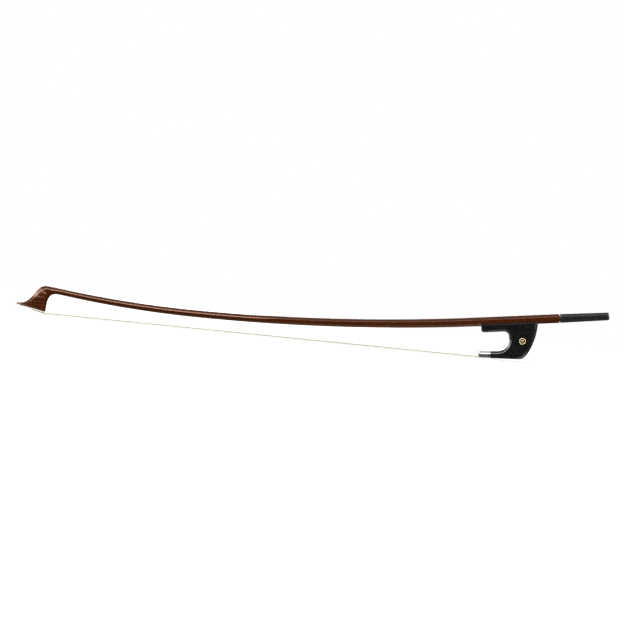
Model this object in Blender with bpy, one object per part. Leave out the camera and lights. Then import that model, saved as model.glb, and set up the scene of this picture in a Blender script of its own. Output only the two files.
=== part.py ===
"""Double bass bow of the German pattern, in metres with +Z up.

At rest the hair lies along X with the stick above it, the head at -X and the button at +X. Y = 0 is
the bow's mid-plane. The origin is under the middle of the bow's length, level with the lower front
edge of the ferrule, which is the bow's lowest point. Distances called "along" run from the tip of the
nose, parallel to the hair. Points of the mid-plane are written (x, z).
"""

from collections import namedtuple
from math import acos, cos, pi, radians, sin, sqrt, tan

import bmesh
import bpy
from mathutils import Matrix, Vector

# Fits
GLUE_GAP = 0.0002
RUN_GAP = 0.0003

# Stick: its axis is level at the low point, bends up both ways and ends in a straight handle
LOW_POINT = 0.235
HEAD_CAMBER = 1.45
HANDLE_CAMBER = 2.65
HANDLE_TILT = radians(8.1)
HANDLE_LENGTH = 0.1022
HANDLE_FLAT = 0.0117
WAIST_DIAMETER = 0.0094
NECK_AT = 0.058
NECK_DIAMETER = 0.0081
NECK_TAPER = 1.5
OCTAGON_LENGTH = 0.355
OCTAGON_FADE = 0.045
END_CHAMFER = 0.0003

# Head: its front and its throat are Bezier curves, each pull the length of a curve's handle
HEAD_LENGTH = 0.0402
SLOPE_REACH = 0.0343
SLOPE_DROP = 0.0095
SLOPE_ANGLE = radians(56)
CREST_PULL = 0.022
UPPER_SLOPE_PULL = 0.018
LOWER_SLOPE_PULL = 0.0185
NOSE_PULL = 0.0055
NOSE_HEIGHT = 0.0024
THROAT_UPPER_PULL = 0.016
THROAT_LOWER_PULL = 0.0125
THROAT_ANGLE = radians(85)
HEAD_WIDTH = 0.0108
BROW_WIDTH = 0.0084
NOSE_WIDTH = 0.0056
NOSE_TIP_WIDTH = 0.0022
RIDGE_WIDTH = 0.0011
THROAT_STRIP = 0.0048
HEAD_BEVEL = 0.0048
ROUND_TO_BEVELLED = 0.45

# Sole of the head: the wood, a liner and the plate whose lip covers the nose
SOLE_TILT = radians(9.1)
SOLE_ARCH = 0.0004
PLATE_THICKNESS = 0.0014
PLATE_LIP = 0.0022
LIP_LENGTH = 0.0025
LIP_ROUNDING = 0.0005
HEAD_LINER_THICKNESS = 0.0005
HEAD_MORTISE_FRONT = 0.017
HEAD_MORTISE_LENGTH = 0.011
HEAD_MORTISE_WIDTH = 0.0066
HEAD_MORTISE_DEPTH = 0.009

# Hair
HAIR_THICKNESS = 0.0011
HAIR_HEAD_WIDTH = 0.0086
HAIR_FERRULE_WIDTH = 0.0126
HAIR_POCKET_WIDTH = 0.0084
HAIR_RIDGES = 7
RIDGE_DEPTH = 0.00018
KNOT_HEIGHT = 0.0026
KNOT_TURNS = 4
KNOT_GROOVE = 0.00025

# Adjusting screw and button
SCREW_DIAMETER = 0.0036
JOURNAL_DIAMETER = 0.0026
JOURNAL_LENGTH = 0.0085
SHANK_IN_BUTTON = 0.006
TANG_ACROSS = 0.0024
TANG_LENGTH = 0.026
BUSH_WALL = 0.0005
REAR_BUSH_LENGTH = 0.012
FRONT_BUSH_LENGTH = 0.008
NIPPLE_WALL = 0.0007
NIPPLE_LENGTH = 0.003
COLLAR_WALL = 0.0007
BUTTON_STANDOFF = 0.0012
BUTTON_LENGTH = 0.0649
BUTTON_FLAT = 0.0116
BUTTON_END_FLAT = 0.0102
BUTTON_ROUNDING = 0.0024
BUTTON_DOME = 0.0006

# Eyelet, by which the screw draws the frog along the handle
EYELET_FROM_END = 0.062
EYELET_LENGTH = 0.006
EYELET_WALL = 0.0014
EYELET_STEM = 0.0042
EYELET_DEPTH = 0.0095
SLACK_TRAVEL = 0.0049
TIGHT_TRAVEL = 0.0028
TRAVEL_CLEARANCE = 0.0008

# Frog: reaches run along the stick from the eyelet, drops run down from the stick's underside
FROG_WIDTH = 0.015
ARM_REACH = 0.0398
ARM_THICKNESS = 0.00815
ARM_TIP_RADIUS = 0.0034
CHEEK_RISE = 0.0021
CHEEK_FALL = 0.0012
THROAT_REACH = 0.004
THROAT_TOP_RADIUS = 0.007
THROAT_LOW_RADIUS = 0.016
HEEL_REACH = 0.034
HEEL_LEAN = radians(5)
HEEL_TOP_PULL = 0.022
HEEL_LOW_PULL = 0.011
BASE_LENGTH = 0.053
FERRULE_REACH = 0.0453
FERRULE_DROP = 0.0408
TONGUE_TILT = radians(4.8)
TONGUE_SPREAD = radians(1.9)

# Edges of the frog: widths seen from the side, depths across
SMALL_EDGE = 0.0004
ARM_EDGE = 0.0043
THROAT_EDGE = 0.0027
TONGUE_EDGE = 0.0042
SOFT_DEPTH = 0.0046
HEEL_EDGE = 0.004
HEEL_DEPTH = 0.003
HEEL_SOFTNESS = 0.35
HEEL_EDGE_START = 0.007
HEEL_EDGE_AT_BASE = 0.75

# Underslide, its screws and the round inlays
UNDERSLIDE_THICKNESS = 0.0005
UNDERSLIDE_PROUD = 0.0003
LINER_SCREW_INSET = 0.006
LINER_SCREW_DIAMETER = 0.0016
LINER_SCREW_HEAD = 0.0026
LINER_SCREW_LENGTH = 0.0055
EYE_REACH = 0.0123
EYE_DROP = 0.02185
EYE_DIAMETER = 0.0086
EYE_RING_WALL = 0.0012
EYE_DOT_DIAMETER = 0.0034
EYE_THICKNESS = 0.0009
INLAY_SINK = 0.00005

# Ferrule, wedge, slide and the pocket that holds the hair in the frog
FERRULE_LENGTH = 0.0147
FERRULE_HEIGHT = 0.009
FERRULE_WALL = 0.0005
WEDGE_LENGTH = 0.0098
WEDGE_THICKNESS = 0.0012
WEDGE_TAPER = 0.0003
HAIR_CLIMB = 0.0038
SLIDE_LENGTH = 0.03
SLIDE_WIDTH = 0.0116
SLIDE_THICKNESS = 0.0014
DOVETAIL = 0.0006
PEARL_LENGTH = 0.023
PEARL_WIDTH = 0.0078
PEARL_THICKNESS = 0.0006
POCKET_FRONT = 0.029
POCKET_LENGTH = 0.011
POCKET_DEPTH = 0.0078

# How finely curves are cut
FACET_STEPS = 3
STICK_POINTS = 8 * FACET_STEPS
STICK_STATIONS = 30
HEAD_STATIONS = 22
HEEL_STEPS = 14
THROAT_STEPS = 8
CORNER_STEPS = 4
EDGE_STEPS = 5
TURN_STEPS = 20
SMALL_TURN_STEPS = 12
SOLE_STATIONS = 5
KNOT_STEPS = 4
SHARP_ANGLE = radians(28)
CUT_PAST = 0.001
MERGE = 1e-6
SIDES = {"left": 1, "right": -1}

# Sizes that follow from those above
HANDLE_HALF = HANDLE_FLAT / 2
HANDLE_START = LOW_POINT + HANDLE_CAMBER * sin(HANDLE_TILT)
STICK_END = HANDLE_START + HANDLE_LENGTH * cos(HANDLE_TILT)
FERRULE_BACK = EYELET_FROM_END + FERRULE_REACH
FERRULE_DEPTH = HANDLE_HALF + FERRULE_DROP
STICK_END_HEIGHT = FERRULE_BACK * sin(HANDLE_TILT) + FERRULE_DEPTH * cos(HANDLE_TILT)
SCREW_RADIUS = SCREW_DIAMETER / 2
BUSH_BORE = SCREW_RADIUS + RUN_GAP
BUSH_RADIUS = BUSH_BORE + BUSH_WALL
PILOT_BORE = JOURNAL_DIAMETER / 2 + RUN_GAP
PILOT_RADIUS = PILOT_BORE + BUSH_WALL
NIPPLE_RADIUS = BUSH_RADIUS + GLUE_GAP + NIPPLE_WALL
COLLAR_RADIUS = NIPPLE_RADIUS + RUN_GAP + COLLAR_WALL
EYELET_RADIUS = BUSH_BORE + EYELET_WALL
MORTISE_FRONT = -EYELET_FROM_END - EYELET_LENGTH / 2 - SLACK_TRAVEL - TRAVEL_CLEARANCE
MORTISE_BACK = -EYELET_FROM_END + EYELET_LENGTH / 2 + TIGHT_TRAVEL + TRAVEL_CLEARANCE
UNDERSLIDE_INNER = HANDLE_HALF + RUN_GAP
UNDERSLIDE_OUTER = UNDERSLIDE_INNER + UNDERSLIDE_THICKNESS
CHANNEL_HALF = UNDERSLIDE_OUTER + GLUE_GAP
CHEEK_TOP = CHEEK_RISE - HANDLE_HALF
WOOD_SOLE = PLATE_THICKNESS + HEAD_LINER_THICKNESS + 2 * GLUE_GAP
SOLE_LENGTH = (HEAD_LENGTH + LIP_ROUNDING * sin(SOLE_TILT)) / cos(SOLE_TILT)
WOOD_LENGTH = SOLE_LENGTH - LIP_LENGTH
HAIR_HALF = HAIR_THICKNESS / 2
HAIR_IN_FERRULE = FERRULE_WALL + GLUE_GAP + HAIR_HALF
HAIR_OVER_SLIDE = SLIDE_THICKNESS + GLUE_GAP + HAIR_HALF
TONGUE_FRONT = FERRULE_LENGTH + GLUE_GAP
WEDGE_FOOT = HAIR_IN_FERRULE + HAIR_HALF + GLUE_GAP
TONGUE_SOLE = WEDGE_FOOT + WEDGE_THICKNESS + GLUE_GAP
BUTTON_FRONT = BUTTON_STANDOFF
BUTTON_BACK = BUTTON_FRONT + BUTTON_LENGTH


def mix(a, b, share):
    return a + (b - a) * share


def eased(share):
    """From 0 to 1 with a level start and end."""
    share = min(max(share, 0.0), 1.0)
    return share * share * (3 - 2 * share)


def heading(angle):
    """Unit vector (x, z) that leans up from +X by this angle."""
    return Vector((cos(angle), sin(angle)))


def arc(centre, radius, first, last, steps):
    """Points of a circle from one angle to another."""
    return [centre + heading(mix(first, last, i / steps)) * radius for i in range(steps + 1)]


def bezier(start, first_pull, last_pull, end, share):
    left = 1 - share
    near = start * left**3 + first_pull * 3 * left**2 * share
    return near + last_pull * 3 * left * share**2 + end * share**3


def button_profile():
    """The button's stations as (distance past the stick's end, width across its flats)."""
    shoulder = BUTTON_BACK - BUTTON_DOME - BUTTON_ROUNDING
    profile = [(BUTTON_FRONT, BUTTON_FLAT - 2 * END_CHAMFER), (BUTTON_FRONT + END_CHAMFER, BUTTON_FLAT)]
    for i in range(CORNER_STEPS + 1):
        turn = pi / 2 * i / CORNER_STEPS
        flat = BUTTON_END_FLAT - 2 * BUTTON_ROUNDING * (1 - cos(turn))
        profile.append((shoulder + BUTTON_ROUNDING * sin(turn), flat))
    crown = BUTTON_END_FLAT - 2 * BUTTON_ROUNDING
    for share in (2 / 3, 1 / 3):
        profile.append((BUTTON_BACK - BUTTON_DOME * share**2, crown * share))
    return profile


LENGTH = STICK_END + max(x * cos(HANDLE_TILT) + flat / 2 * sin(HANDLE_TILT) for x, flat in button_profile())


class Frame:
    """Axes in the mid-plane that a group of pieces is drawn in, with an empty that carries them."""

    def __init__(self, name, x, z, tilt, parent=None):
        self.corner = Vector((x, z))
        self.tilt = tilt
        self.parent = parent
        self.empty = bpy.data.objects.new(name, None)
        self.empty.empty_display_size = 0.01
        self.empty.location = (x, 0.0, z)
        self.empty.rotation_euler = (0.0, -tilt, 0.0)
        if parent:
            self.empty.parent = parent.empty
        bpy.context.scene.collection.objects.link(self.empty)

    def outside(self, x, z):
        """A point of this frame in the axes of its parent."""
        return self.corner + heading(self.tilt) * x + heading(self.tilt + pi / 2) * z

    def world(self, x, z):
        point = self.outside(x, z)
        return self.parent.world(*point) if self.parent else point


def clear_scene():
    for old in list(bpy.data.objects):
        bpy.data.objects.remove(old, do_unlink=True)


def paint(name, colour, roughness, metallic=0.0):
    finish = bpy.data.materials.new(name)
    finish.use_nodes = True
    shader = finish.node_tree.nodes["Principled BSDF"]
    shader.inputs["Base Color"].default_value = (*colour, 1.0)
    shader.inputs["Roughness"].default_value = roughness
    shader.inputs["Metallic"].default_value = metallic
    finish.diffuse_color = (*colour, 1.0)
    return finish


def piece(name, shape, finish, frame=None):
    """A finished bmesh as a named object, drawn in its frame's axes."""
    bmesh.ops.recalc_face_normals(shape, faces=shape.faces)
    data = bpy.data.meshes.new(name)
    shape.to_mesh(data)
    shape.free()
    data.shade_smooth()
    for face in data.polygons:
        face.use_smooth = len(face.vertices) == 4
    data.set_sharp_from_angle(angle=SHARP_ANGLE)
    if finish:
        data.materials.append(finish)
    made = bpy.data.objects.new(name, data)
    if frame:
        made.parent = frame.empty
    bpy.context.scene.collection.objects.link(made)
    return made


def tool(name, shape, frame=None):
    """A shape that only cuts or joins others, so it is never rendered."""
    made = piece(name, shape, None, frame)
    made.hide_render = True
    made.display_type = "WIRE"
    return made


def combine(target, operation, tools):
    for other in tools:
        modifier = target.modifiers.new(other.name, "BOOLEAN")
        modifier.operation = operation
        modifier.solver = "EXACT"
        modifier.object = other


def cut(target, *tools):
    combine(target, "DIFFERENCE", tools)


def join(target, *tools):
    combine(target, "UNION", tools)


def loft(rings, closed=False):
    """A skin through rings of equally many points, capped at both ends or closed on itself."""
    shape = bmesh.new()
    rows = [[shape.verts.new(point) for point in ring] for ring in rings]
    pairs = list(zip(rows, rows[1:]))
    if closed:
        pairs.append((rows[-1], rows[0]))
    else:
        shape.faces.new(reversed(rows[0]))
        shape.faces.new(rows[-1])
    for first, second in pairs:
        for i in range(len(first)):
            j = (i + 1) % len(first)
            shape.faces.new((first[i], first[j], second[j], second[i]))
    return shape


def rectangle(half, low, high):
    return [(-half, low), (half, low), (half, high), (-half, high)]


def bar(section, start, end):
    """A section of (y, z) points drawn out along X."""
    return loft([[(x, y, z) for y, z in section] for x in (start, end)])


def tapered(start, end, low, high, start_half, end_half):
    """A block along X whose half width changes from one end to the other."""
    return loft([
        [(start, y, z) for y, z in rectangle(start_half, low, high)],
        [(end, y, z) for y, z in rectangle(end_half, low, high)],
    ])


def box(start, end, half, low, high):
    return tapered(start, end, low, high, half, half)


def turned(profile, steps=TURN_STEPS):
    """A solid turned about X from (x, radius) points; a profile off the axis closes into a tube."""
    shape = bmesh.new()
    points = [shape.verts.new((x, 0.0, radius)) for x, radius in profile]
    edges = [shape.edges.new(pair) for pair in zip(points, points[1:])]
    if profile[0][1] > 0:
        edges.append(shape.edges.new((points[-1], points[0])))
    spun = points + edges
    bmesh.ops.spin(shape, geom=spun, axis=(1, 0, 0), angle=2 * pi, steps=steps, use_merge=True)
    bmesh.ops.remove_doubles(shape, verts=shape.verts, dist=MERGE)
    return shape


def tube(inner, outer, start, end):
    return turned([(start, inner), (end, inner), (end, outer), (start, outer)])


def rod(radius, start, end, steps=TURN_STEPS):
    return turned([(start, 0.0), (start, radius), (end, radius), (end, 0.0)], steps)


def pointed(shape, direction, place=(0, 0, 0)):
    """Swings a shape drawn along X to another direction, then moves it."""
    swing = Vector((1, 0, 0)).rotation_difference(Vector(direction)).to_matrix().to_4x4()
    shape.transform(Matrix.Translation(place) @ swing)
    return shape


# The stick: a loft from the head's sole, round the throat, along the camber to the nipple


def camber(along):
    """How far the stick's axis stands over its low point, and its slope."""
    if along > HANDLE_START:
        straight = (along - HANDLE_START) * tan(HANDLE_TILT)
        return HANDLE_CAMBER * (1 - cos(HANDLE_TILT)) + straight, HANDLE_TILT
    reach = along - LOW_POINT
    radius = HANDLE_CAMBER if reach > 0 else HEAD_CAMBER
    over = sqrt(radius**2 - reach**2)
    slope = acos(over / radius)
    return radius - over, slope if reach > 0 else -slope


def stick_axis(along):
    """Point of the stick's axis and its slope."""
    rise, slope = camber(along)
    height = STICK_END_HEIGHT - camber(STICK_END)[0] + rise
    return Vector((along - LENGTH / 2, height)), slope


def stick_thickness(along):
    if along > LOW_POINT:
        share = (along - LOW_POINT) / (HANDLE_START - LOW_POINT)
        return mix(WAIST_DIAMETER, HANDLE_FLAT, min(share, 1.0))
    share = (LOW_POINT - along) / (LOW_POINT - NECK_AT)
    return mix(WAIST_DIAMETER, NECK_DIAMETER, share**NECK_TAPER)


def octagon_share(along):
    """1 where the stick is an octagon, 0 where it is round."""
    return eased((along - STICK_END + OCTAGON_LENGTH + OCTAGON_FADE) / OCTAGON_FADE)


def section(across, squareness):
    """Points (y, z) round a section: an octagon with a flat below at 1, a circle at 0."""
    points = []
    for i in range(STICK_POINTS):
        angle = pi / 8 + 2 * pi * i / STICK_POINTS
        off_flat = (angle + pi / 8) % (pi / 4) - pi / 8
        radius = across / 2 * mix(1.0, 1 / cos(off_flat), squareness)
        points.append((radius * sin(angle), -radius * cos(angle)))
    return points


def ring_on(centre, up, points):
    """A section's points set square to the mid-plane, round a point and along an upward direction."""
    ring = []
    for y, z in points:
        place = centre + up * z
        ring.append((place.x, y, place.y))
    return ring


def stick_ring(along, shrink=0.0):
    centre, slope = stick_axis(along)
    points = section(stick_thickness(along) - 2 * shrink, octagon_share(along))
    return ring_on(centre, heading(slope + pi / 2), points)


def nipple_ring(reach, radius):
    centre, slope = stick_axis(STICK_END)
    return ring_on(centre + heading(slope) * reach, heading(slope + pi / 2), section(2 * radius, 0.0))


def head_front(share, sole):
    """The head's front outline, from the top of the neck over the crest to the top of the nose."""
    centre, slope = stick_axis(NECK_AT)
    top = centre + heading(slope + pi / 2) * (NECK_DIAMETER / 2)
    middle = top - Vector((SLOPE_REACH, SLOPE_DROP))
    down = heading(SLOPE_ANGLE) * -1
    if share <= 0.5:
        crest = top - heading(slope) * CREST_PULL
        return bezier(top, crest, middle - down * UPPER_SLOPE_PULL, middle, 2 * share)
    nose = sole.world(-WOOD_LENGTH, WOOD_SOLE + NOSE_HEIGHT)
    hollow = nose + Vector((NOSE_PULL, 0.0))
    return bezier(middle, middle + down * LOWER_SLOPE_PULL, hollow, nose, 2 * share - 1)


def head_throat(share, sole):
    """The head's inner outline, from the underside of the neck down to the plate's rear corner."""
    centre, slope = stick_axis(NECK_AT)
    bottom = centre - heading(slope + pi / 2) * (NECK_DIAMETER / 2)
    corner = sole.world(0.0, WOOD_SOLE + SOLE_ARCH + CUT_PAST)
    upper = bottom - heading(slope) * THROAT_UPPER_PULL
    return bezier(bottom, upper, corner + heading(THROAT_ANGLE) * THROAT_LOWER_PULL, corner, share)


def head_corners(length, share):
    """Corners of a ring through the head, as (half width, distance from the throat)."""
    swell = eased(2 * share)
    thin = eased(2 * share - 1)
    cheek = mix(NECK_DIAMETER, HEAD_WIDTH, swell) / 2
    brow = mix(mix(NECK_DIAMETER, BROW_WIDTH, swell), NOSE_WIDTH, thin) / 2
    ridge = mix(RIDGE_WIDTH, NOSE_TIP_WIDTH, thin) / 2
    near = [(THROAT_STRIP / 2, 0.0), (cheek, HEAD_BEVEL), (brow, length - HEAD_BEVEL), (ridge, length)]
    return near + [(-half, reach) for half, reach in reversed(near)]


def head_ring(low, high, share):
    """A ring of the head's skin, fanned between its throat and its front outline."""
    length = (high - low).length
    corners = [Vector(corner) for corner in head_corners(length, share)]
    formed = eased(share / ROUND_TO_BEVELLED)
    points = []
    for i, (y, z) in enumerate(section(length, 0.0)):
        side, step = divmod(i, FACET_STEPS)
        start = corners[side]
        end = corners[(side + 1) % len(corners)]
        cornered = mix(start, end, step / FACET_STEPS)
        points.append(mix(Vector((y, z + length / 2)), cornered, formed))
    return ring_on(low, (high - low) / length, points)


def head_rings(sole):
    foot = WOOD_SOLE - CUT_PAST
    rings = [head_ring(sole.world(0.0, foot), sole.world(-WOOD_LENGTH, foot), 1.0)]
    for i in range(HEAD_STATIONS, 0, -1):
        share = i / HEAD_STATIONS
        rings.append(head_ring(head_throat(share, sole), head_front(share, sole), share))
    return rings


def stick_shape(sole):
    rings = head_rings(sole)
    for i in range(STICK_STATIONS + 1):
        rings.append(stick_ring(mix(NECK_AT, STICK_END - END_CHAMFER, i / STICK_STATIONS)))
    rings.append(stick_ring(STICK_END, END_CHAMFER))
    rings.append(nipple_ring(0.0, NIPPLE_RADIUS))
    rings.append(nipple_ring(NIPPLE_LENGTH - END_CHAMFER, NIPPLE_RADIUS))
    rings.append(nipple_ring(NIPPLE_LENGTH, NIPPLE_RADIUS - END_CHAMFER))
    return loft(rings)


def screw_bore_shape():
    """The stepped bore: a seat for the front bush, a clear run and a seat for the rear bush."""
    pilot = PILOT_RADIUS + GLUE_GAP
    clear = SCREW_RADIUS + 2 * RUN_GAP
    seat = BUSH_RADIUS + GLUE_GAP
    front = MORTISE_FRONT - FRONT_BUSH_LENGTH - CUT_PAST
    step = MORTISE_FRONT + CUT_PAST
    rear = NIPPLE_LENGTH - REAR_BUSH_LENGTH
    past = NIPPLE_LENGTH + CUT_PAST
    outline = [(front, pilot), (step, pilot), (step, clear), (rear, clear), (rear, seat), (past, seat)]
    return turned([(front, 0.0)] + outline + [(past, 0.0)])


def eyelet_mortise_shape():
    """The slot under the handle in which the eyelet travels, its corners as round as its end play."""
    half = EYELET_RADIUS + RUN_GAP
    low = -HANDLE_HALF - CUT_PAST
    high = EYELET_RADIUS + RUN_GAP
    radius = TRAVEL_CLEARANCE
    corners = [(MORTISE_FRONT, -half), (MORTISE_BACK, -half), (MORTISE_BACK, half), (MORTISE_FRONT, half)]
    middle = Vector(((MORTISE_FRONT + MORTISE_BACK) / 2, 0.0))
    outline = []
    for i, (x, y) in enumerate(corners):
        inward = Vector((radius if x < middle.x else -radius, radius if y < middle.y else -radius))
        turn = pi + i * pi / 2
        outline += arc(Vector((x, y)) + inward, radius, turn, turn + pi / 2, CORNER_STEPS)
    return loft([[(x, y, z) for x, y in outline] for z in (low, high)])


def make_stick(finish, sole, screw):
    stick = piece("stick", stick_shape(sole), finish)
    under = [(x, WOOD_SOLE + sole_arch(x)) for x in sole_stops(-SOLE_LENGTH - CUT_PAST)]
    under[0] = (CUT_PAST, under[0][1])
    outline = under + [(under[-1][0], -CUT_PAST), (CUT_PAST, -CUT_PAST)]
    trim = loft([[(x, y, z) for x, z in outline] for y in (-HEAD_WIDTH, HEAD_WIDTH)])
    cut(stick, tool("sole_trim", trim, sole), tool("head_mortise", head_mortise_shape(), sole))
    cut(stick, tool("eyelet_mortise", eyelet_mortise_shape(), screw))
    cut(stick, tool("screw_bore", screw_bore_shape(), screw))


# The sole of the head


def sole_arch(x):
    """How far the sole is hollowed at a place between its rear edge, 0, and its nose."""
    share = min(max(-x / SOLE_LENGTH, 0.0), 1.0)
    return SOLE_ARCH * 4 * share * (1 - share)


def sole_stops(front):
    """Places along the sole where its outline turns, and a few between them."""
    shares = [i / SOLE_STATIONS for i in range(SOLE_STATIONS + 1)]
    middle = [mix(-HEAD_BEVEL, HEAD_BEVEL - WOOD_LENGTH, share) for share in shares]
    return [0.0] + middle + [front]


def sole_half_width(x):
    stops = [0.0, -HEAD_BEVEL, HEAD_BEVEL - WOOD_LENGTH, -WOOD_LENGTH]
    widths = [THROAT_STRIP, HEAD_WIDTH, NOSE_WIDTH, NOSE_TIP_WIDTH]
    for i in range(3):
        if x >= stops[i + 1]:
            return mix(widths[i], widths[i + 1], (x - stops[i]) / (stops[i + 1] - stops[i])) / 2
    return NOSE_TIP_WIDTH / 2


def sole_layer(low, high):
    """Rings of a layer under the head, between two heights over the plate's outer face."""
    rings = []
    for x in sole_stops(-WOOD_LENGTH):
        lift = sole_arch(x)
        layer = rectangle(sole_half_width(x), low + lift, high + lift)
        rings.append([(x, y, z) for y, z in layer])
    return rings


def plate_shape():
    """The tip plate, whose nose turns up into a rounded lip in front of the wood."""
    rings = sole_layer(0.0, PLATE_THICKNESS)
    top = PLATE_THICKNESS + PLATE_LIP
    half = NOSE_TIP_WIDTH / 2
    lip = [
        (-WOOD_LENGTH - GLUE_GAP, half, 0.0, top),
        (-SOLE_LENGTH + LIP_ROUNDING, half, 0.0, top),
        (-SOLE_LENGTH, half - LIP_ROUNDING, LIP_ROUNDING, top - LIP_ROUNDING),
    ]
    for x, wide, low, high in lip:
        rings.append([(x, y, z) for y, z in rectangle(wide, low, high)])
    return loft(rings)


def head_mortise_shape():
    half = HEAD_MORTISE_WIDTH / 2
    back = HEAD_MORTISE_LENGTH - HEAD_MORTISE_FRONT
    return box(-HEAD_MORTISE_FRONT, back, half, -CUT_PAST, WOOD_SOLE + HEAD_MORTISE_DEPTH)


def knot_shape(length, width):
    """A hank's end bound with thread, lying along X with its middle at the origin."""
    half = KNOT_HEIGHT / 2
    steps = KNOT_TURNS * KNOT_STEPS
    profile = [(-length / 2, 0.0)]
    for i in range(steps + 1):
        groove = KNOT_GROOVE * (1 - abs(sin(pi * i / KNOT_STEPS)))
        profile.append((mix(-length / 2, length / 2, i / steps), half - groove))
    profile.append((length / 2, 0.0))
    shape = turned(profile, SMALL_TURN_STEPS)
    bmesh.ops.scale(shape, vec=(1.0, width / KNOT_HEIGHT, 1.0), verts=shape.verts)
    return shape


def make_sole(paints, sole):
    mortise = bpy.data.objects["head_mortise"]
    liner_low = PLATE_THICKNESS + GLUE_GAP
    liner = loft(sole_layer(liner_low, liner_low + HEAD_LINER_THICKNESS))
    cut(piece("head_plate_liner", liner, paints["ebony"], sole), mortise)
    cut(piece("head_plate", plate_shape(), paints["plate"], sole), mortise)
    ceiling = WOOD_SOLE + HEAD_MORTISE_DEPTH - GLUE_GAP
    plug_top = ceiling - KNOT_HEIGHT - GLUE_GAP
    front = -HEAD_MORTISE_FRONT + GLUE_GAP
    back = HEAD_MORTISE_LENGTH - HEAD_MORTISE_FRONT - GLUE_GAP
    plug_front = front + HAIR_THICKNESS + GLUE_GAP
    half = HEAD_MORTISE_WIDTH / 2 - GLUE_GAP
    plug = box(plug_front, back, half, SOLE_ARCH, plug_top)
    piece("head_plug", plug, paints["plug"], sole)
    knot = knot_shape(back - front, 2 * half)
    knot.transform(Matrix.Translation(((front + back) / 2, 0.0, ceiling - KNOT_HEIGHT / 2)))
    piece("head_hair_knot", knot, paints["hair"], sole)


# The hair


def ribbon_section(width):
    """Points (y, z) round a ribbon of parallel strands, ridged above and below."""
    half = width / 2
    count = 2 * HAIR_RIDGES
    upper = []
    for i in range(count + 1):
        depth = HAIR_HALF - (RIDGE_DEPTH if i % 2 == 0 else 0.0)
        upper.append((mix(half, -half, i / count), depth))
    return upper + [(y, -z) for y, z in reversed(upper)]


def ribbon(path):
    """A ribbon through (point, width) stations, its section mitred where the path bends."""
    places = [place for place, _ in path]
    rings = []
    for i, (place, width) in enumerate(path):
        before = (place - places[i - 1]).normalized() if i else None
        after = (places[i + 1] - place).normalized() if i + 1 < len(path) else None
        before = before or after
        after = after or before
        along = (before + after).normalized()
        up = Vector((-along.y, along.x)) / along.dot(after)
        rings.append(ring_on(place, up, ribbon_section(width)))
    return loft(rings)


def hair_path(sole, tongue):
    """The ribbon's middle and width, from the knot in the head to the knot in the frog."""
    leg = -HEAD_MORTISE_FRONT + GLUE_GAP + HAIR_HALF
    under = -GLUE_GAP - HAIR_HALF
    top = WOOD_SOLE + HEAD_MORTISE_DEPTH - KNOT_HEIGHT - 3 * GLUE_GAP
    bend = HAIR_THICKNESS
    turn = Vector((leg + bend, under + SOLE_ARCH + bend))
    head = [Vector((leg, top))] + arc(turn, bend, pi, 3 * pi / 2, 3)
    for share in (1.0, 0.5, 0.0):
        x = -share * HEAD_MORTISE_LENGTH
        head.append(Vector((x, under + sole_arch(x))))
    back = POCKET_FRONT + POCKET_LENGTH - GLUE_GAP - HAIR_HALF
    rise = Vector((back - bend, HAIR_OVER_SLIDE + bend))
    narrow = HEAD_MORTISE_WIDTH - 2 * GLUE_GAP
    spread = [narrow] * 5 + [mix(narrow, HAIR_HEAD_WIDTH, share) for share in (1 / 3, 2 / 3, 1.0)]
    path = [(sole.world(*place), width) for place, width in zip(head, spread)]
    path.append((tongue.world(0.0, HAIR_IN_FERRULE), HAIR_FERRULE_WIDTH))
    path.append((tongue.world(FERRULE_LENGTH - HAIR_CLIMB, HAIR_IN_FERRULE), HAIR_FERRULE_WIDTH))
    path.append((tongue.world(FERRULE_LENGTH, HAIR_OVER_SLIDE), SLIDE_WIDTH))
    for place in arc(rise, bend, -pi / 2, 0.0, 3) + [Vector((back, knot_floor() - GLUE_GAP))]:
        path.append((tongue.world(*place), HAIR_POCKET_WIDTH))
    return path


def knot_floor():
    """Lower side of the knot in the frog's pocket."""
    return POCKET_DEPTH - GLUE_GAP - KNOT_HEIGHT


# The adjusting screw, its bushes and the button


def make_screw(paints, screw):
    root = MORTISE_FRONT + RUN_GAP + TRAVEL_CLEARANCE / 2
    shank_end = BUTTON_FRONT + SHANK_IN_BUTTON
    journal = JOURNAL_DIAMETER / 2
    profile = [
        (root - JOURNAL_LENGTH, 0.0),
        (root - JOURNAL_LENGTH, journal - END_CHAMFER),
        (root - JOURNAL_LENGTH + END_CHAMFER, journal),
        (root, journal),
        (root + END_CHAMFER, SCREW_RADIUS),
        (shank_end - END_CHAMFER, SCREW_RADIUS),
        (shank_end, SCREW_RADIUS - END_CHAMFER),
        (shank_end, 0.0),
    ]
    made = piece("adjusting_screw", turned(profile), paints["steel"], screw)
    half = TANG_ACROSS / 2
    tang = box(shank_end - CUT_PAST, shank_end + TANG_LENGTH, half, -half, half)
    join(made, tool("screw_tang", tang, screw))
    rear = tube(BUSH_BORE, BUSH_RADIUS, NIPPLE_LENGTH - REAR_BUSH_LENGTH + GLUE_GAP, NIPPLE_LENGTH)
    piece("screw_bush_rear", rear, paints["brass"], screw)
    front = tube(PILOT_BORE, PILOT_RADIUS, MORTISE_FRONT - FRONT_BUSH_LENGTH, MORTISE_FRONT)
    piece("screw_bush_front", front, paints["brass"], screw)


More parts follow.
